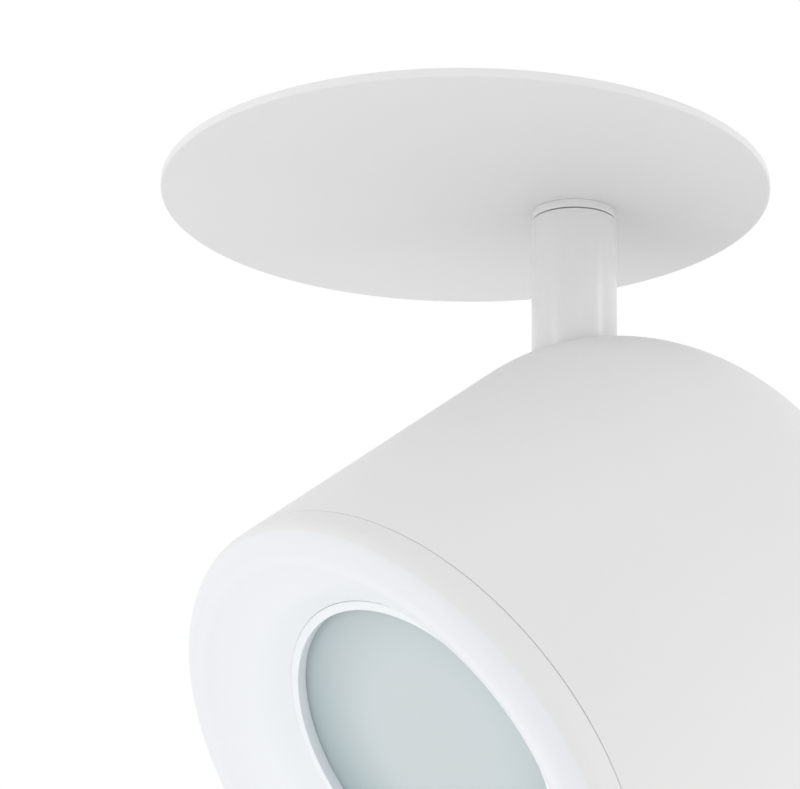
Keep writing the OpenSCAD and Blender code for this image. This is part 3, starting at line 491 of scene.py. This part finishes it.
def screws(name, node, places, seat, shank):
    """Pan-head screws with a cross recess, with their heads' seats at a height above the ceiling face."""
    head, tall, core = size("screw_head"), size("screw_height"), size("screw_core")
    crown, tip, slot, reach, deep = 0.0009, 0.0004, 0.0003, head * 0.55, tall * 0.45
    section = [(0, tall), *arc((head - crown, tall - crown), crown, 80, 0, 6), (head, 0), (core, 0),
               (core, tip - shank), (core - tip, -shank), (0, -shank)]
    one = turned("screw_master", node, section, closed=False, edge=0.0001)
    bar = [(-reach, -slot), (reach, -slot), (reach, slot), (-reach, slot)]
    cut(one, prism("recess_a", bar, deep, tall * 2),
        prism("recess_b", bar, deep, tall * 2, Matrix.Rotation(math.pi / 2, 4, "Z")))
    mesh = bpy.data.meshes.new(name)
    mesh.from_pydata([(x, y, seat) for x, y in places], [], [])
    draft = shown(mesh, name + "_places")
    result = evaluated(draft, name, screw_tree(), {
        "Screw": one, "Slot turn": 0.7, "Finish": finish(SLOTS[node])})
    discard(draft, one)
    outward(result)
    stands_for(shown(result, name, plate_place()), node)


# Finishes

def finish_tree(name):
    """A new material with its surface shader and its Object coordinates."""
    material = bpy.data.materials.new(name)
    material.use_nodes = True
    tree = material.node_tree
    tree.nodes.clear()
    out = tree.nodes.new("ShaderNodeOutputMaterial")
    skin = tree.nodes.new("ShaderNodeBsdfPrincipled")
    tree.links.new(skin.outputs["BSDF"], out.inputs["Surface"])
    place = tree.nodes.new("ShaderNodeTexCoord").outputs["Object"]
    return material, tree, skin, place


def between(tree, factor, first, second):
    """A colour that moves with a factor from one to another, each a value or another node's output."""
    mix = add(tree, "ShaderNodeMix", {"Factor": factor, 6: first, 7: second}, data_type="RGBA")
    return mix.outputs[2]


def shade(base, share):
    """A colour with its light scaled by a share."""
    return (*[min(1.0, c * share) for c in base[:3]], 1.0)


def spread(tree, value, low, high, start=0.0, end=1.0, **settings):
    """Maps a value's range, which is 0 to 1 unless it is given, on to another."""
    node = add(tree, "ShaderNodeMapRange", {
        "Value": value, "From Min": start, "From Max": end, "To Min": low, "To Max": high}, **settings)
    return node.outputs["Result"]


def noise(tree, place, scale, detail, rough=0.5):
    """A cloudy pattern with so many cells to the metre."""
    node = add(tree, "ShaderNodeTexNoise", {
        "Vector": place, "Scale": scale, "Detail": detail, "Roughness": rough})
    return node.outputs["Fac"]


def stored(tree):
    """The number that marked() stored at each point."""
    return add(tree, "ShaderNodeAttribute", attribute_name="turn").outputs["Fac"]


def relief(tree, skin, height, distance):
    """Bump from a height pattern, with its depth in metres."""
    bump = add(tree, "ShaderNodeBump", {"Height": height, "Distance": distance, "Strength": 1.0})
    tree.links.new(bump.outputs["Normal"], skin.inputs["Normal"])


def coat(tree, skin, base, grain, low, high, depth):
    """Puts on a base colour, and a roughness range and a relief that both follow one fine grain."""
    tree.links.new(base, skin.inputs["Base Color"])
    tree.links.new(spread(tree, grain, low, high), skin.inputs["Roughness"])
    relief(tree, skin, grain, depth)


def powder_coat():
    """Polyester powder coat, sprayed and baked: matt, with a very fine orange peel."""
    material, tree, skin, place = finish_tree("powder_coat_white")
    # real powder grain is about 0.2 mm; it is drawn at 0.9 mm so that it shows at all
    peel = noise(tree, place, 1100.0, 3.0, 0.55)
    cloud = noise(tree, place, 22.0, 2.0)
    matt = between(tree, cloud, shade(colour("paint"), 0.985), shade(colour("paint"), 1.015))
    # the drawn stem tube takes a smoother, slightly darker coat than the cast parts
    smooth = stored(tree)
    tree.links.new(between(tree, smooth, matt, shade(colour("paint"), 0.95)), skin.inputs["Base Color"])
    rough = add(tree, "ShaderNodeMix", {"Factor": smooth, 2: spread(tree, peel, 0.50, 0.62), 3: 0.27})
    tree.links.new(rough.outputs[0], skin.inputs["Roughness"])
    tree.links.new(spread(tree, smooth, 0.25, 0.9), skin.inputs["Specular IOR Level"])
    relief(tree, skin, peel, 0.00002)
    return material


def satin_paint():
    """Satin white of the funnel, with the body's matt coat on the ring's outer side, and painted light deep
    in the funnel.
    """
    material, tree, skin, place = finish_tree("satin_white_paint")
    skin.inputs["Specular IOR Level"].default_value = 0.25
    peel = noise(tree, place, 900.0, 2.0)
    cloud = noise(tree, place, 26.0, 2.0)
    even = between(tree, cloud, shade(colour("ring"), 0.99), shade(colour("ring"), 1.01))
    # the masking line of the funnel's paint runs around the ring's rounded edge, 2 degrees soft; the split
    # is partly a real two-tone paint and partly painted light, the edge's change from shade to light
    line, soft, turn = math.degrees(size("paint_line")), 2, stored(tree)
    side = spread(tree, turn, 0.0, 1.0, line - soft, line + soft)
    # painted light: the funnel is painted whiter and cooler deeper in, for the light it catches and the
    # light the glass throws on it
    funnel_painted_light = between(tree, spread(tree, turn, 0.0, 1.0, 80.0, 150.0), even, colour("funnel"))
    coat(tree, skin, between(tree, side, colour("paint"), funnel_painted_light), peel, 0.40, 0.48, 0.000012)
    return material


def lip_enamel():
    """Gloss enamel on the lip: the brightest white, with a smooth hard shine."""
    material, tree, skin, place = finish_tree("gloss_white_enamel")
    skin.inputs["IOR"].default_value = 1.52
    flow = noise(tree, place, 900.0, 1.0)
    base = between(tree, flow, shade(colour("lip"), 0.99), colour("lip"))
    coat(tree, skin, base, flow, 0.28, 0.32, 0.000002)
    return material


def frosted_glass():
    """Satin-etched soda glass: pale grey green, scatters light and hides what is behind it; painted shade
    darkens it towards its edge.
    """
    material, tree, skin, place = finish_tree("etched_front_glass")
    skin.inputs["IOR"].default_value = 1.52
    skin.inputs["Transmission Weight"].default_value = 0.12
    skin.inputs["Subsurface Weight"].default_value = 0.25
    skin.inputs["Subsurface Scale"].default_value = 0.002
    skin.inputs["Subsurface Radius"].default_value = (1.0, 1.0, 1.0)
    # etching pits are a few hundredths of a millimetre; drawn at 0.5 mm so that they show
    pits = noise(tree, place, 2000.0, 2.0)
    haze = noise(tree, place, 18.0, 1.0)
    clear = between(tree, haze, shade(colour("glass"), 0.98), shade(colour("glass"), 1.02))
    # painted shade: the pane darkens from an off-centre painted light spot out to its edge, for the shade on
    # it and the dark space behind it seen through it
    deep = spread(tree, stored(tree), 0.0, 1.0, 0.5, 1.2, interpolation_type="SMOOTHSTEP")
    coat(tree, skin, between(tree, deep, clear, colour("glass_painted_shade")), pits, 0.34, 0.46, 0.00001)
    return material


def zinc_plate():
    """Bright passivated zinc on pressed steel: metallic, faintly mottled, with rolling marks."""
    material, tree, skin, place = finish_tree("bright_zinc_plate")
    skin.inputs["Metallic"].default_value = 1.0
    cells = add(tree, "ShaderNodeTexVoronoi", {"Vector": place, "Scale": 260.0, "Randomness": 1.0})
    fine = noise(tree, place, 1600.0, 3.0)
    base = between(tree, cells.outputs["Distance"], shade(colour("zinc"), 1.06), shade(colour("zinc"), 0.86))
    coat(tree, skin, base, fine, 0.26, 0.44, 0.000012)
    return material


def spring_steel():
    """Hard-drawn spring steel: darker than zinc, with fine drawing lines."""
    material, tree, skin, place = finish_tree("drawn_spring_steel")
    skin.inputs["Metallic"].default_value = 1.0
    stretch = add(tree, "ShaderNodeMapping", {"Vector": place, "Scale": (300.0, 300.0, 4000.0)})
    lines = noise(tree, stretch.outputs["Vector"], 1.0, 3.0)
    base = between(tree, lines, shade(colour("steel"), 0.85), shade(colour("steel"), 1.15))
    coat(tree, skin, base, lines, 0.24, 0.42, 0.00001)
    return material


def moulded(name, base, rough, grain, depth, soft=0.0):
    """A moulded plastic or rubber with the even texture of its mould."""
    material, tree, skin, place = finish_tree(name)
    skin.inputs["Subsurface Weight"].default_value = soft
    skin.inputs["Subsurface Scale"].default_value = 0.001
    texture = noise(tree, place, grain, 3.0)
    cloud = noise(tree, place, 60.0, 1.0)
    tone = between(tree, cloud, shade(base, 0.93), shade(base, 1.05))
    coat(tree, skin, tone, texture, rough - 0.06, rough + 0.08, depth)
    return material


def bare_alloy(name, base, low, high, grain):
    """Bare aluminium: cast and machined, or spun and polished, by its roughness and grain."""
    material, tree, skin, place = finish_tree(name)
    skin.inputs["Metallic"].default_value = 1.0
    fine = noise(tree, place, grain, 4.0, 0.6)
    coat(tree, skin, between(tree, fine, shade(base, 0.9), shade(base, 1.08)), fine, low, high, 0.00002)
    return material


FINISHES = {}


def finish(slot):
    """The material of one of the record's slots, made once."""
    if slot not in FINISHES:
        FINISHES[slot] = {
            "white_paint": powder_coat,
            "ring_paint": satin_paint,
            "lip_enamel": lip_enamel,
            "frosted_glass": frosted_glass,
            "zinc_plate": zinc_plate,
            "spring_steel": spring_steel,
            "pale_nylon": lambda: moulded("natural_nylon", colour("nylon"), 0.42, 900.0, 0.00002, 0.15),
            "friction_fibre": lambda: moulded("pressed_fibre", linear("#3A3A3C"), 0.75, 1500.0, 0.00004),
            "black_rubber": lambda: moulded("black_epdm_rubber", linear("#232325"), 0.62, 1200.0, 0.00002),
            "lead_jacket": lambda: moulded("lead_insulation", linear("#7A5238"), 0.4, 700.0, 0.00001),
            "bare_aluminium": lambda: bare_alloy("cast_aluminium", colour("alloy"), 0.36, 0.54, 900.0),
            "board_white": lambda: moulded("white_solder_mask", linear("#EDEDE8"), 0.35, 800.0, 0.00001),
            "pad_grey": lambda: moulded("silicone_thermal_pad", linear("#9AA0A8"), 0.7, 600.0, 0.00002),
            "phosphor": lambda: moulded("phosphor_disc", linear("#E9C84A"), 0.45, 1500.0, 0.00002, 0.3),
            "bright_reflector": lambda: bare_alloy("spun_reflector", linear("#D6D8DA"), 0.14, 0.24, 500.0),
        }[slot]()
    return FINISHES[slot]


def stands_for(piece, node):
    """Puts the finish of its node's slot on a finished piece, hands it to its node's body and hides the
    node.
    """
    piece.data.materials.clear()
    piece.data.materials.append(finish(SLOTS[node]))
    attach(piece, frame["nodes"][node]["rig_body"])
    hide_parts(node)


# Operators, one for each piece or group of like pieces

class SPOTLIGHT_OT_plate(bpy.types.Operator):
    """Turns the visible ceiling plate with its collar, and drills it for the swivel"""

    bl_idname = "spotlight.plate"
    bl_label = "Ceiling plate"

    def execute(self, context):
        rim, thick, edge = size("plate_radius"), size("plate_depth"), size("plate_edge")
        out, wall, rise = size("spigot_radius"), size("spigot_wall"), size("spigot_height")
        section = [(0, -thick), *arc((rim - edge, edge - thick), edge, -90, 0, 8), (rim, 0),
                   (out, 0), (out, rise), (out - wall, rise), (out - wall, 0), (0, 0)]
        piece = turned("ceiling_disc", "ceiling_plate", section, plate_place(), closed=False)
        over = Matrix.Translation((PIVOT.x, PIVOT.y, 0))
        hole, deep = round_outline(size("sleeve_radius") + FIT), 0.02
        cut(piece, prism("swivel_hole", hole, -deep, deep, over))
        stands_for(piece, "ceiling_plate")
        return {"FINISHED"}


class SPOTLIGHT_OT_stem(bpy.types.Operator):
    """Turns the fixed collar and the stem tube"""

    bl_idname = "spotlight.stem"
    bl_label = "Stem and collar"

    def execute(self, context):
        wide, bore, top = size("stem_radius"), size("stem_bore"), -PIVOT.z - size("plate_depth")
        tall, gap = size("collar_height"), size("groove")
        sleeve, hole, over = size("sleeve_radius"), size("sleeve_bore"), -PIVOT.z + size("sleeve_top")
        section = [(hole, top - tall), (wide, top - tall), (wide, top), (sleeve, top), (sleeve, over),
                   (hole, over)]
        collar = turned("fixed_collar", "stem_collar", section, stem_place(), value=lambda at: 1.0)
        stands_for(collar, "stem_collar")
        low, high = size("tube_end"), top - tall - gap
        section = [(bore, low), (wide, low), (wide, high), (bore, high)]
        tube = turned("stem_pipe", "stem_tube", section, stem_place(), value=lambda at: 1.0)
        stands_for(tube, "stem_tube")
        return {"FINISHED"}


class SPOTLIGHT_OT_head_shell(bpy.types.Operator):
    """Turns the dome-backed shell and mills the slot that the stem swings in"""

    bl_idname = "spotlight.head_shell"
    bl_label = "Head shell"

    def execute(self, context):
        out, wall, front = size("head_radius"), size("head_wall"), -size("seam")
        rear, bend = size("rear"), size("rear_round")
        bore, ledge = out - wall, out - wall - size("ledge_width")
        ledge_front, ledge_rear = -size("ledge_front"), size("ledge_thickness") - size("ledge_front")
        centre = (out - bend, rear - bend)
        section = [(0, rear), *arc(centre, bend, 90, 0, 40), (out, front), (bore, front),
                   (bore, ledge_front), (ledge, ledge_front), (ledge, ledge_rear), (bore, ledge_rear),
                   *arc(centre, bend - wall, 0, 90, 32), (0, rear - wall)]
        piece = turned("head_shell", "head_housing", section, closed=False)
        half, reach, most = size("slot_half"), 0.09, size("tilt_max")
        round_end = round_outline(half)
        wedge = [(0, 0), (0, reach), (-reach * math.tan(most / 2), reach),
                 (-reach * math.sin(most), reach * math.cos(most))]
        # the wedge is drawn in the YZ plane: its outline's x is Y and its y is Z
        upright = Matrix(((0, 0, 1, 0), (1, 0, 0, 0), (0, 1, 0, 0), (0, 0, 0, 1)))
        cutters = [prism("slot_rear", round_end, 0, reach),
                   prism("slot_front", round_end, 0, reach, Matrix.Rotation(most, 4, "X")),
                   prism("slot_middle", wedge, -half * 0.9995, half * 0.9995, upright)]
        cut(piece, *cutters)
        piece.data.transform(head_place())
        stands_for(piece, "head_housing")
        return {"FINISHED"}


def nose_turn(out, ahead, width):
    """How far a point of the front ring is around its rounded edge, and on into the funnel, in degrees."""
    if out > 0:
        return max(0.0, math.degrees(math.atan2(ahead, out)))
    return 90 + 90 * min(1.0, -out / width)


def funnel_bottom():
    """Height of the funnel's bottom in the head's own frame."""
    return size("funnel_floor") - size("seam")


def make_ring():
    """The ring: a plain band, a rounded edge, the funnel's arc, and a tube and a skirt behind them."""
    out, seam, nose = size("head_radius"), -size("seam"), size("nose_round")
    turn, skin = size("funnel_turn"), size("funnel_wall")
    centre = Vector((out - nose, seam - size("ring_depth") + nose))
    floor, inner = funnel_bottom(), size("lip_radius") + size("lip_play")
    # the funnel's arc leaves the rounded edge on its tangent and ends on the funnel's bottom
    away = Vector((math.sin(turn), math.cos(turn)))
    start = centre - away * nose
    span = start - Vector((inner, floor))
    sweep = -span.dot(span) / (2 * span.dot(away))
    hub = start + away * sweep
    first = -90 - math.degrees(turn)
    last = math.degrees(math.atan2(floor - hub.y, inner - hub.x))
    last = last - 360 if last > 0 else last
    tube = size("glass_radius") + size("pocket_play")
    tube_out, tube_end, under = tube + size("pocket_wall"), -size("pocket_end"), floor + size("funnel_sheet")
    skirt, skirt_end, band = size("skirt_radius"), seam + size("skirt_length"), seam - size("seam_gap")
    skirt_in = skirt - size("skirt_wall")
    behind = math.degrees(math.acos((hub.x - tube_out) / (sweep - skin))) - 180
    back = arc(hub, sweep - skin, behind, first, 24)
    section = [(out, band), (out, centre.y), *arc(centre, nose, 0, first, 48)[1:],
               *arc(hub, sweep, first, last, 48)[1:], (inner, under), (tube, under), (tube, tube_end),
               (tube_out, tube_end), *back, (skirt_in, back[-1][1]), (skirt_in, skirt_end),
               (skirt, skirt_end), (skirt, band)]
    piece = turned("front_ring_shell", "front_ring", section, head_place(), edge=0.00015,
                   value=lambda at: nose_turn(at.xy.length - centre.x, centre.y - at.z, centre.x - inner))
    stands_for(piece, "front_ring")


def make_lip_and_glass():
    """The lip with its rounded face and its flange, and the glass that rests on the flange."""
    lip, bore, edge, floor = size("lip_radius"), size("lip_bore"), 0.0002, funnel_bottom()
    reach, low, rest = size("glass_radius"), floor - size("lip_rise"), floor + size("lip_seat")
    pane = rest + size("lip_flange")
    section = [(bore, pane), *arc((bore + edge, low + edge), edge, 180, 270, 8),
               *arc((lip - edge, low + edge), edge, 270, 360, 8), (lip, rest), (reach, rest), (reach, pane)]
    ring = turned("glass_lip", "glass_retainer", section, head_place(), edge=0.0001)
    stands_for(ring, "glass_retainer")
    rear = pane + size("glass_depth")
    # the centre of the painted light on the pane, off towards one side
    bright = Vector((0.88, -0.48)) * size("glass_painted_light_spot")
    glass = turned("front_pane", "front_glass", [(0, pane), (reach, pane), (reach, rear), (0, rear)],
                   head_place(), closed=False, edge=0.0003, value=lambda at: (at.xy - bright).length / reach)
    stands_for(glass, "front_glass")


class SPOTLIGHT_OT_front_ring(bpy.types.Operator):
    """Turns the front ring with its rounded edge and its funnel, and the lip that holds the glass"""

    bl_idname = "spotlight.front_ring"
    bl_label = "Front ring and lip"

    def execute(self, context):
        make_ring()
        make_lip_and_glass()
        return {"FINISHED"}


class SPOTLIGHT_OT_recess_can(bpy.types.Operator):
    """Spins the can above the plate, cuts its vents and fits its cable grommet"""

    bl_idname = "spotlight.recess_can"
    bl_label = "Recess can"

    def execute(self, context):
        out, top = size("can_radius"), size("can_top_radius")
        high, wall = size("can_height"), size("can_wall")
        shoulder, brim = high - size("can_shoulder"), size("flange_radius")
        slope = (out - top) / size("can_shoulder")
        skin = wall * math.sqrt(1 + 1 / slope ** 2)
        section = [(0, high), (top, high), (out, shoulder), (out, wall), (brim, wall), (brim, 0),
                   (out - wall, 0), (out - wall, shoulder - skin + wall / slope),
                   (top - (skin - wall) * slope, high - wall), (0, high - wall)]
        piece = turned("spun_can", "recess_can", section, closed=False, edge=0.0007)
        long, step, count = size("vent_length"), size("vent_step"), size("vent_count")
        inset, aside = 0.004, 0.001
        first = Vector((top - long / 2 - inset, aside - (count - 1) / 2 * step, high - 2 * wall))
        piece.data = evaluated(piece, "spun_can", vent_tree(), {
            "Count": count, "Step": step, "Length": long, "Width": size("vent_width"),
            "Depth": 3 * wall, "First slot": first, "Finish": finish(SLOTS["recess_can"])})
        bore, away = size("grommet_bore"), Matrix.Translation((-size("grommet_out"), 0, 0))
        neck, lip = bore + 0.0022, 0.0016
        cut(piece, prism("grommet_hole", round_outline(neck + FIT), high - 2 * wall, high + wall, away))
        piece.data.transform(plate_place())
        stands_for(piece, "recess_can")
        low = high - wall
        section = [(bore, low - lip), (neck + lip, low - lip), (neck + lip, low), (neck, low), (neck, high),
                   (neck + lip, high), (neck + lip, high + 1.5 * lip), (bore, high + 1.5 * lip)]
        grommet = turned("cable_ring", "cable_grommet", section, plate_place() @ away, edge=0.0006)
        stands_for(grommet, "cable_grommet")
        return {"FINISHED"}


class SPOTLIGHT_OT_screws(bpy.types.Operator):
    """Sets the screws of the can and of the clip brackets"""

    bl_idname = "spotlight.screws"
    bl_label = "Screws"

    def execute(self, context):
        wall, out = size("can_wall"), (size("can_radius") + size("flange_radius")) / 2
        bite = size("screw_bite")
        corners = [math.radians(45 + 90 * i) for i in range(4)]
        places = [(out * math.cos(turn), out * math.sin(turn)) for turn in corners]
        screws("flange_screws", "can_screws", places, wall, wall + bite)
        base = size("bracket_sheet")
        turn = math.pi / 2 - size("clip_bearing")
        places = [(side * out * math.cos(turn), side * out * math.sin(turn)) for side in (-1, 1)]
        screws("bracket_fixings", "clip_screws", places, wall + base, wall + base + bite)
        return {"FINISHED"}


class SPOTLIGHT_OT_clips(bpy.types.Operator):
    """Breaks the edges of the pressed clip parts and of the moulded pads"""

    bl_idname = "spotlight.clips"
    bl_label = "Ceiling clips"

    def execute(self, context):
        for side in ("left", "right"):
            for part, edge, steps in (("clip_bracket_", 0.00018, 2), ("clip_arm_", 0.0002, 2),
                                      ("clip_pad_", 0.0004, 3), ("clip_pin_", 0.00015, 2)):
                stands_for(eased(part + side, edge, steps), part + side)
        return {"FINISHED"}


class SPOTLIGHT_OT_tilt_joint(bpy.types.Operator):
    """Breaks the edges of the joint parts that show through the slot of the head"""

    bl_idname = "spotlight.tilt_joint"
    bl_label = "Tilt joint"

    def execute(self, context):
        for node, edge in (("tilt_bracket", 0.0003), ("tilt_pin", 0.0002), ("tilt_nut", 0.0003),
                           ("heat_sink", 0.0003), ("stem_knuckle", 0.0004)):
            stands_for(eased(node, edge), node)
        return {"FINISHED"}


class SPOTLIGHT_OT_finishes(bpy.types.Operator):
    """Gives each remaining solid the finish of its slot"""

    bl_idname = "spotlight.finishes"
    bl_label = "Finishes"

    def execute(self, context):
        for name, node in frame["nodes"].items():
            node.data.materials.clear()
            node.data.materials.append(finish(SLOTS[name]))
        return {"FINISHED"}


def lay_floor():
    """The plain pale floor, well below the lamp."""
    half, drop, thick = 6, 1.2, 0.01
    material, tree, skin, place = finish_tree("pale_stage_floor")
    skin.inputs["Base Color"].default_value = linear("#F9F9F9")
    skin.inputs["Roughness"].default_value = 0.9
    corners = [(-half, -half), (half, -half), (half, half), (-half, half)]
    floor = prism("floor", corners, -drop - thick, -drop)
    floor.data.materials.append(material)


def soften_room(scene):
    """A soft pale room for diffuse light, and plain white for the camera and for mirrored rays."""
    world = bpy.data.worlds.new("soft_room")
    scene.world = world
    world.use_nodes = True
    tree = world.node_tree
    tree.nodes.clear()
    out = tree.nodes.new("ShaderNodeOutputWorld")
    ray = tree.nodes.new("ShaderNodeLightPath").outputs
    way = add(tree, "ShaderNodeTexCoord").outputs["Generated"]
    height = add(tree, "ShaderNodeSeparateXYZ", {"Vector": way})
    light = spread(tree, height.outputs["Z"], 1.22, 1.12, -1.0, 1.0)
    # the room is a little darker on the side that the camera stands on
    front = add(tree, "ShaderNodeVectorMath", {0: way, 1: (0.79, -0.61, 0)}, operation="DOT_PRODUCT")
    depth = spread(tree, front.outputs["Value"], 1.11, 0.68, -1.0, 1.0)
    level = add(tree, "ShaderNodeMath", {0: light, 1: depth}, operation="MULTIPLY")
    room = add(tree, "ShaderNodeBackground", {"Color": (1, 1, 1, 1), "Strength": level.outputs[0]})
    white = add(tree, "ShaderNodeBackground", {"Color": (1, 1, 1, 1), "Strength": 1.0})
    seen = add(tree, "ShaderNodeMath", {0: ray["Is Camera Ray"], 1: ray["Is Glossy Ray"]},
               operation="MAXIMUM")
    through = add(tree, "ShaderNodeMath", {0: seen.outputs[0], 1: ray["Is Transmission Ray"]},
                  operation="MAXIMUM")
    mix = add(tree, "ShaderNodeMixShader", {
        "Fac": through.outputs[0], 1: room.outputs[0], 2: white.outputs[0]})
    tree.links.new(mix.outputs[0], out.inputs["Surface"])


def set_lamps(scene):
    """Two tall soft lamps, left and right of the lamp as the camera sees it."""
    middle = Vector((0.01, 0, -0.09))
    for name, spot, power in (("tall_left", (-0.05, -1.30, -0.05), 3.2),
                              ("tall_right", (1.05, 0.76, 0.0), 2.3)):
        data = bpy.data.lights.new(name, "AREA")
        data.energy, data.shape, data.size, data.size_y = power, "RECTANGLE", 0.25, 1.3
        lamp = bpy.data.objects.new(name, data)
        lamp.location = spot
        lamp.rotation_mode = "QUATERNION"
        lamp.rotation_quaternion = (middle - Vector(spot)).to_track_quat("-Z", "Y")
        scene.collection.objects.link(lamp)


def set_camera(scene):
    """The camera at the photo's place, with its lens and its slight roll."""
    eye, look, roll = Vector((0.42495, -0.31133, -0.21)), Vector((-0.78538, 0.54429, 0.29483)), 0.0161
    data = bpy.data.cameras.new("camera")
    data.sensor_width, data.lens, data.clip_start = 36, 112.5, 0.01
    camera = bpy.data.objects.new("camera", data)
    scene.collection.objects.link(camera)
    ahead = look.normalized()
    right = ahead.cross(Vector((0, 0, 1))).normalized()
    side = right * math.cos(roll) + right.cross(ahead) * math.sin(roll)
    turn = Matrix((side, side.cross(ahead), -ahead)).transposed()
    camera.matrix_world = Matrix.Translation(eye) @ turn.to_4x4()
    scene.camera = camera


class SPOTLIGHT_OT_stage(bpy.types.Operator):
    """Sets the pale floor, the soft lights, the white background and the camera"""

    bl_idname = "spotlight.stage"
    bl_label = "Stage"

    def execute(self, context):
        context.scene.view_settings.view_transform = "Standard"
        lay_floor()
        soften_room(context.scene)
        set_lamps(context.scene)
        set_camera(context.scene)
        return {"FINISHED"}


class SPOTLIGHT_PT_panel(bpy.types.Panel):
    """Lists the pieces in the order in which they are made"""

    bl_idname = "SPOTLIGHT_PT_panel"
    bl_label = "Spotlight"
    bl_space_type = "VIEW_3D"
    bl_region_type = "UI"
    bl_category = "Spotlight"

    def draw(self, context):
        for step in STEPS:
            self.layout.operator(step.bl_idname)
        for group in (context.scene.spotlight_sizes, context.scene.spotlight_colours):
            box = self.layout.box()
            for key in group.__annotations__:
                box.prop(group, key)


STEPS = (SPOTLIGHT_OT_finishes, SPOTLIGHT_OT_plate, SPOTLIGHT_OT_stem, SPOTLIGHT_OT_head_shell,
         SPOTLIGHT_OT_front_ring, SPOTLIGHT_OT_recess_can, SPOTLIGHT_OT_screws, SPOTLIGHT_OT_clips,
         SPOTLIGHT_OT_tilt_joint, SPOTLIGHT_OT_stage)
CLASSES = (SpotlightSizes, SpotlightColours, *STEPS, SPOTLIGHT_PT_panel)


def register():
    """Adds the classes and hangs the two groups on the scene."""
    for cls in CLASSES:
        bpy.utils.register_class(cls)
    bpy.types.Scene.spotlight_sizes = PointerProperty(type=SpotlightSizes)
    bpy.types.Scene.spotlight_colours = PointerProperty(type=SpotlightColours)


def unregister():
    """Takes them away again."""
    del bpy.types.Scene.spotlight_colours
    del bpy.types.Scene.spotlight_sizes
    for cls in reversed(CLASSES):
        bpy.utils.unregister_class(cls)


def main():
    """Makes every piece in order."""
    register()
    for step in STEPS:
        group, name = step.bl_idname.split(".")
        getattr(getattr(bpy.ops, group), name)()


if __name__ == "__main__":
    main()
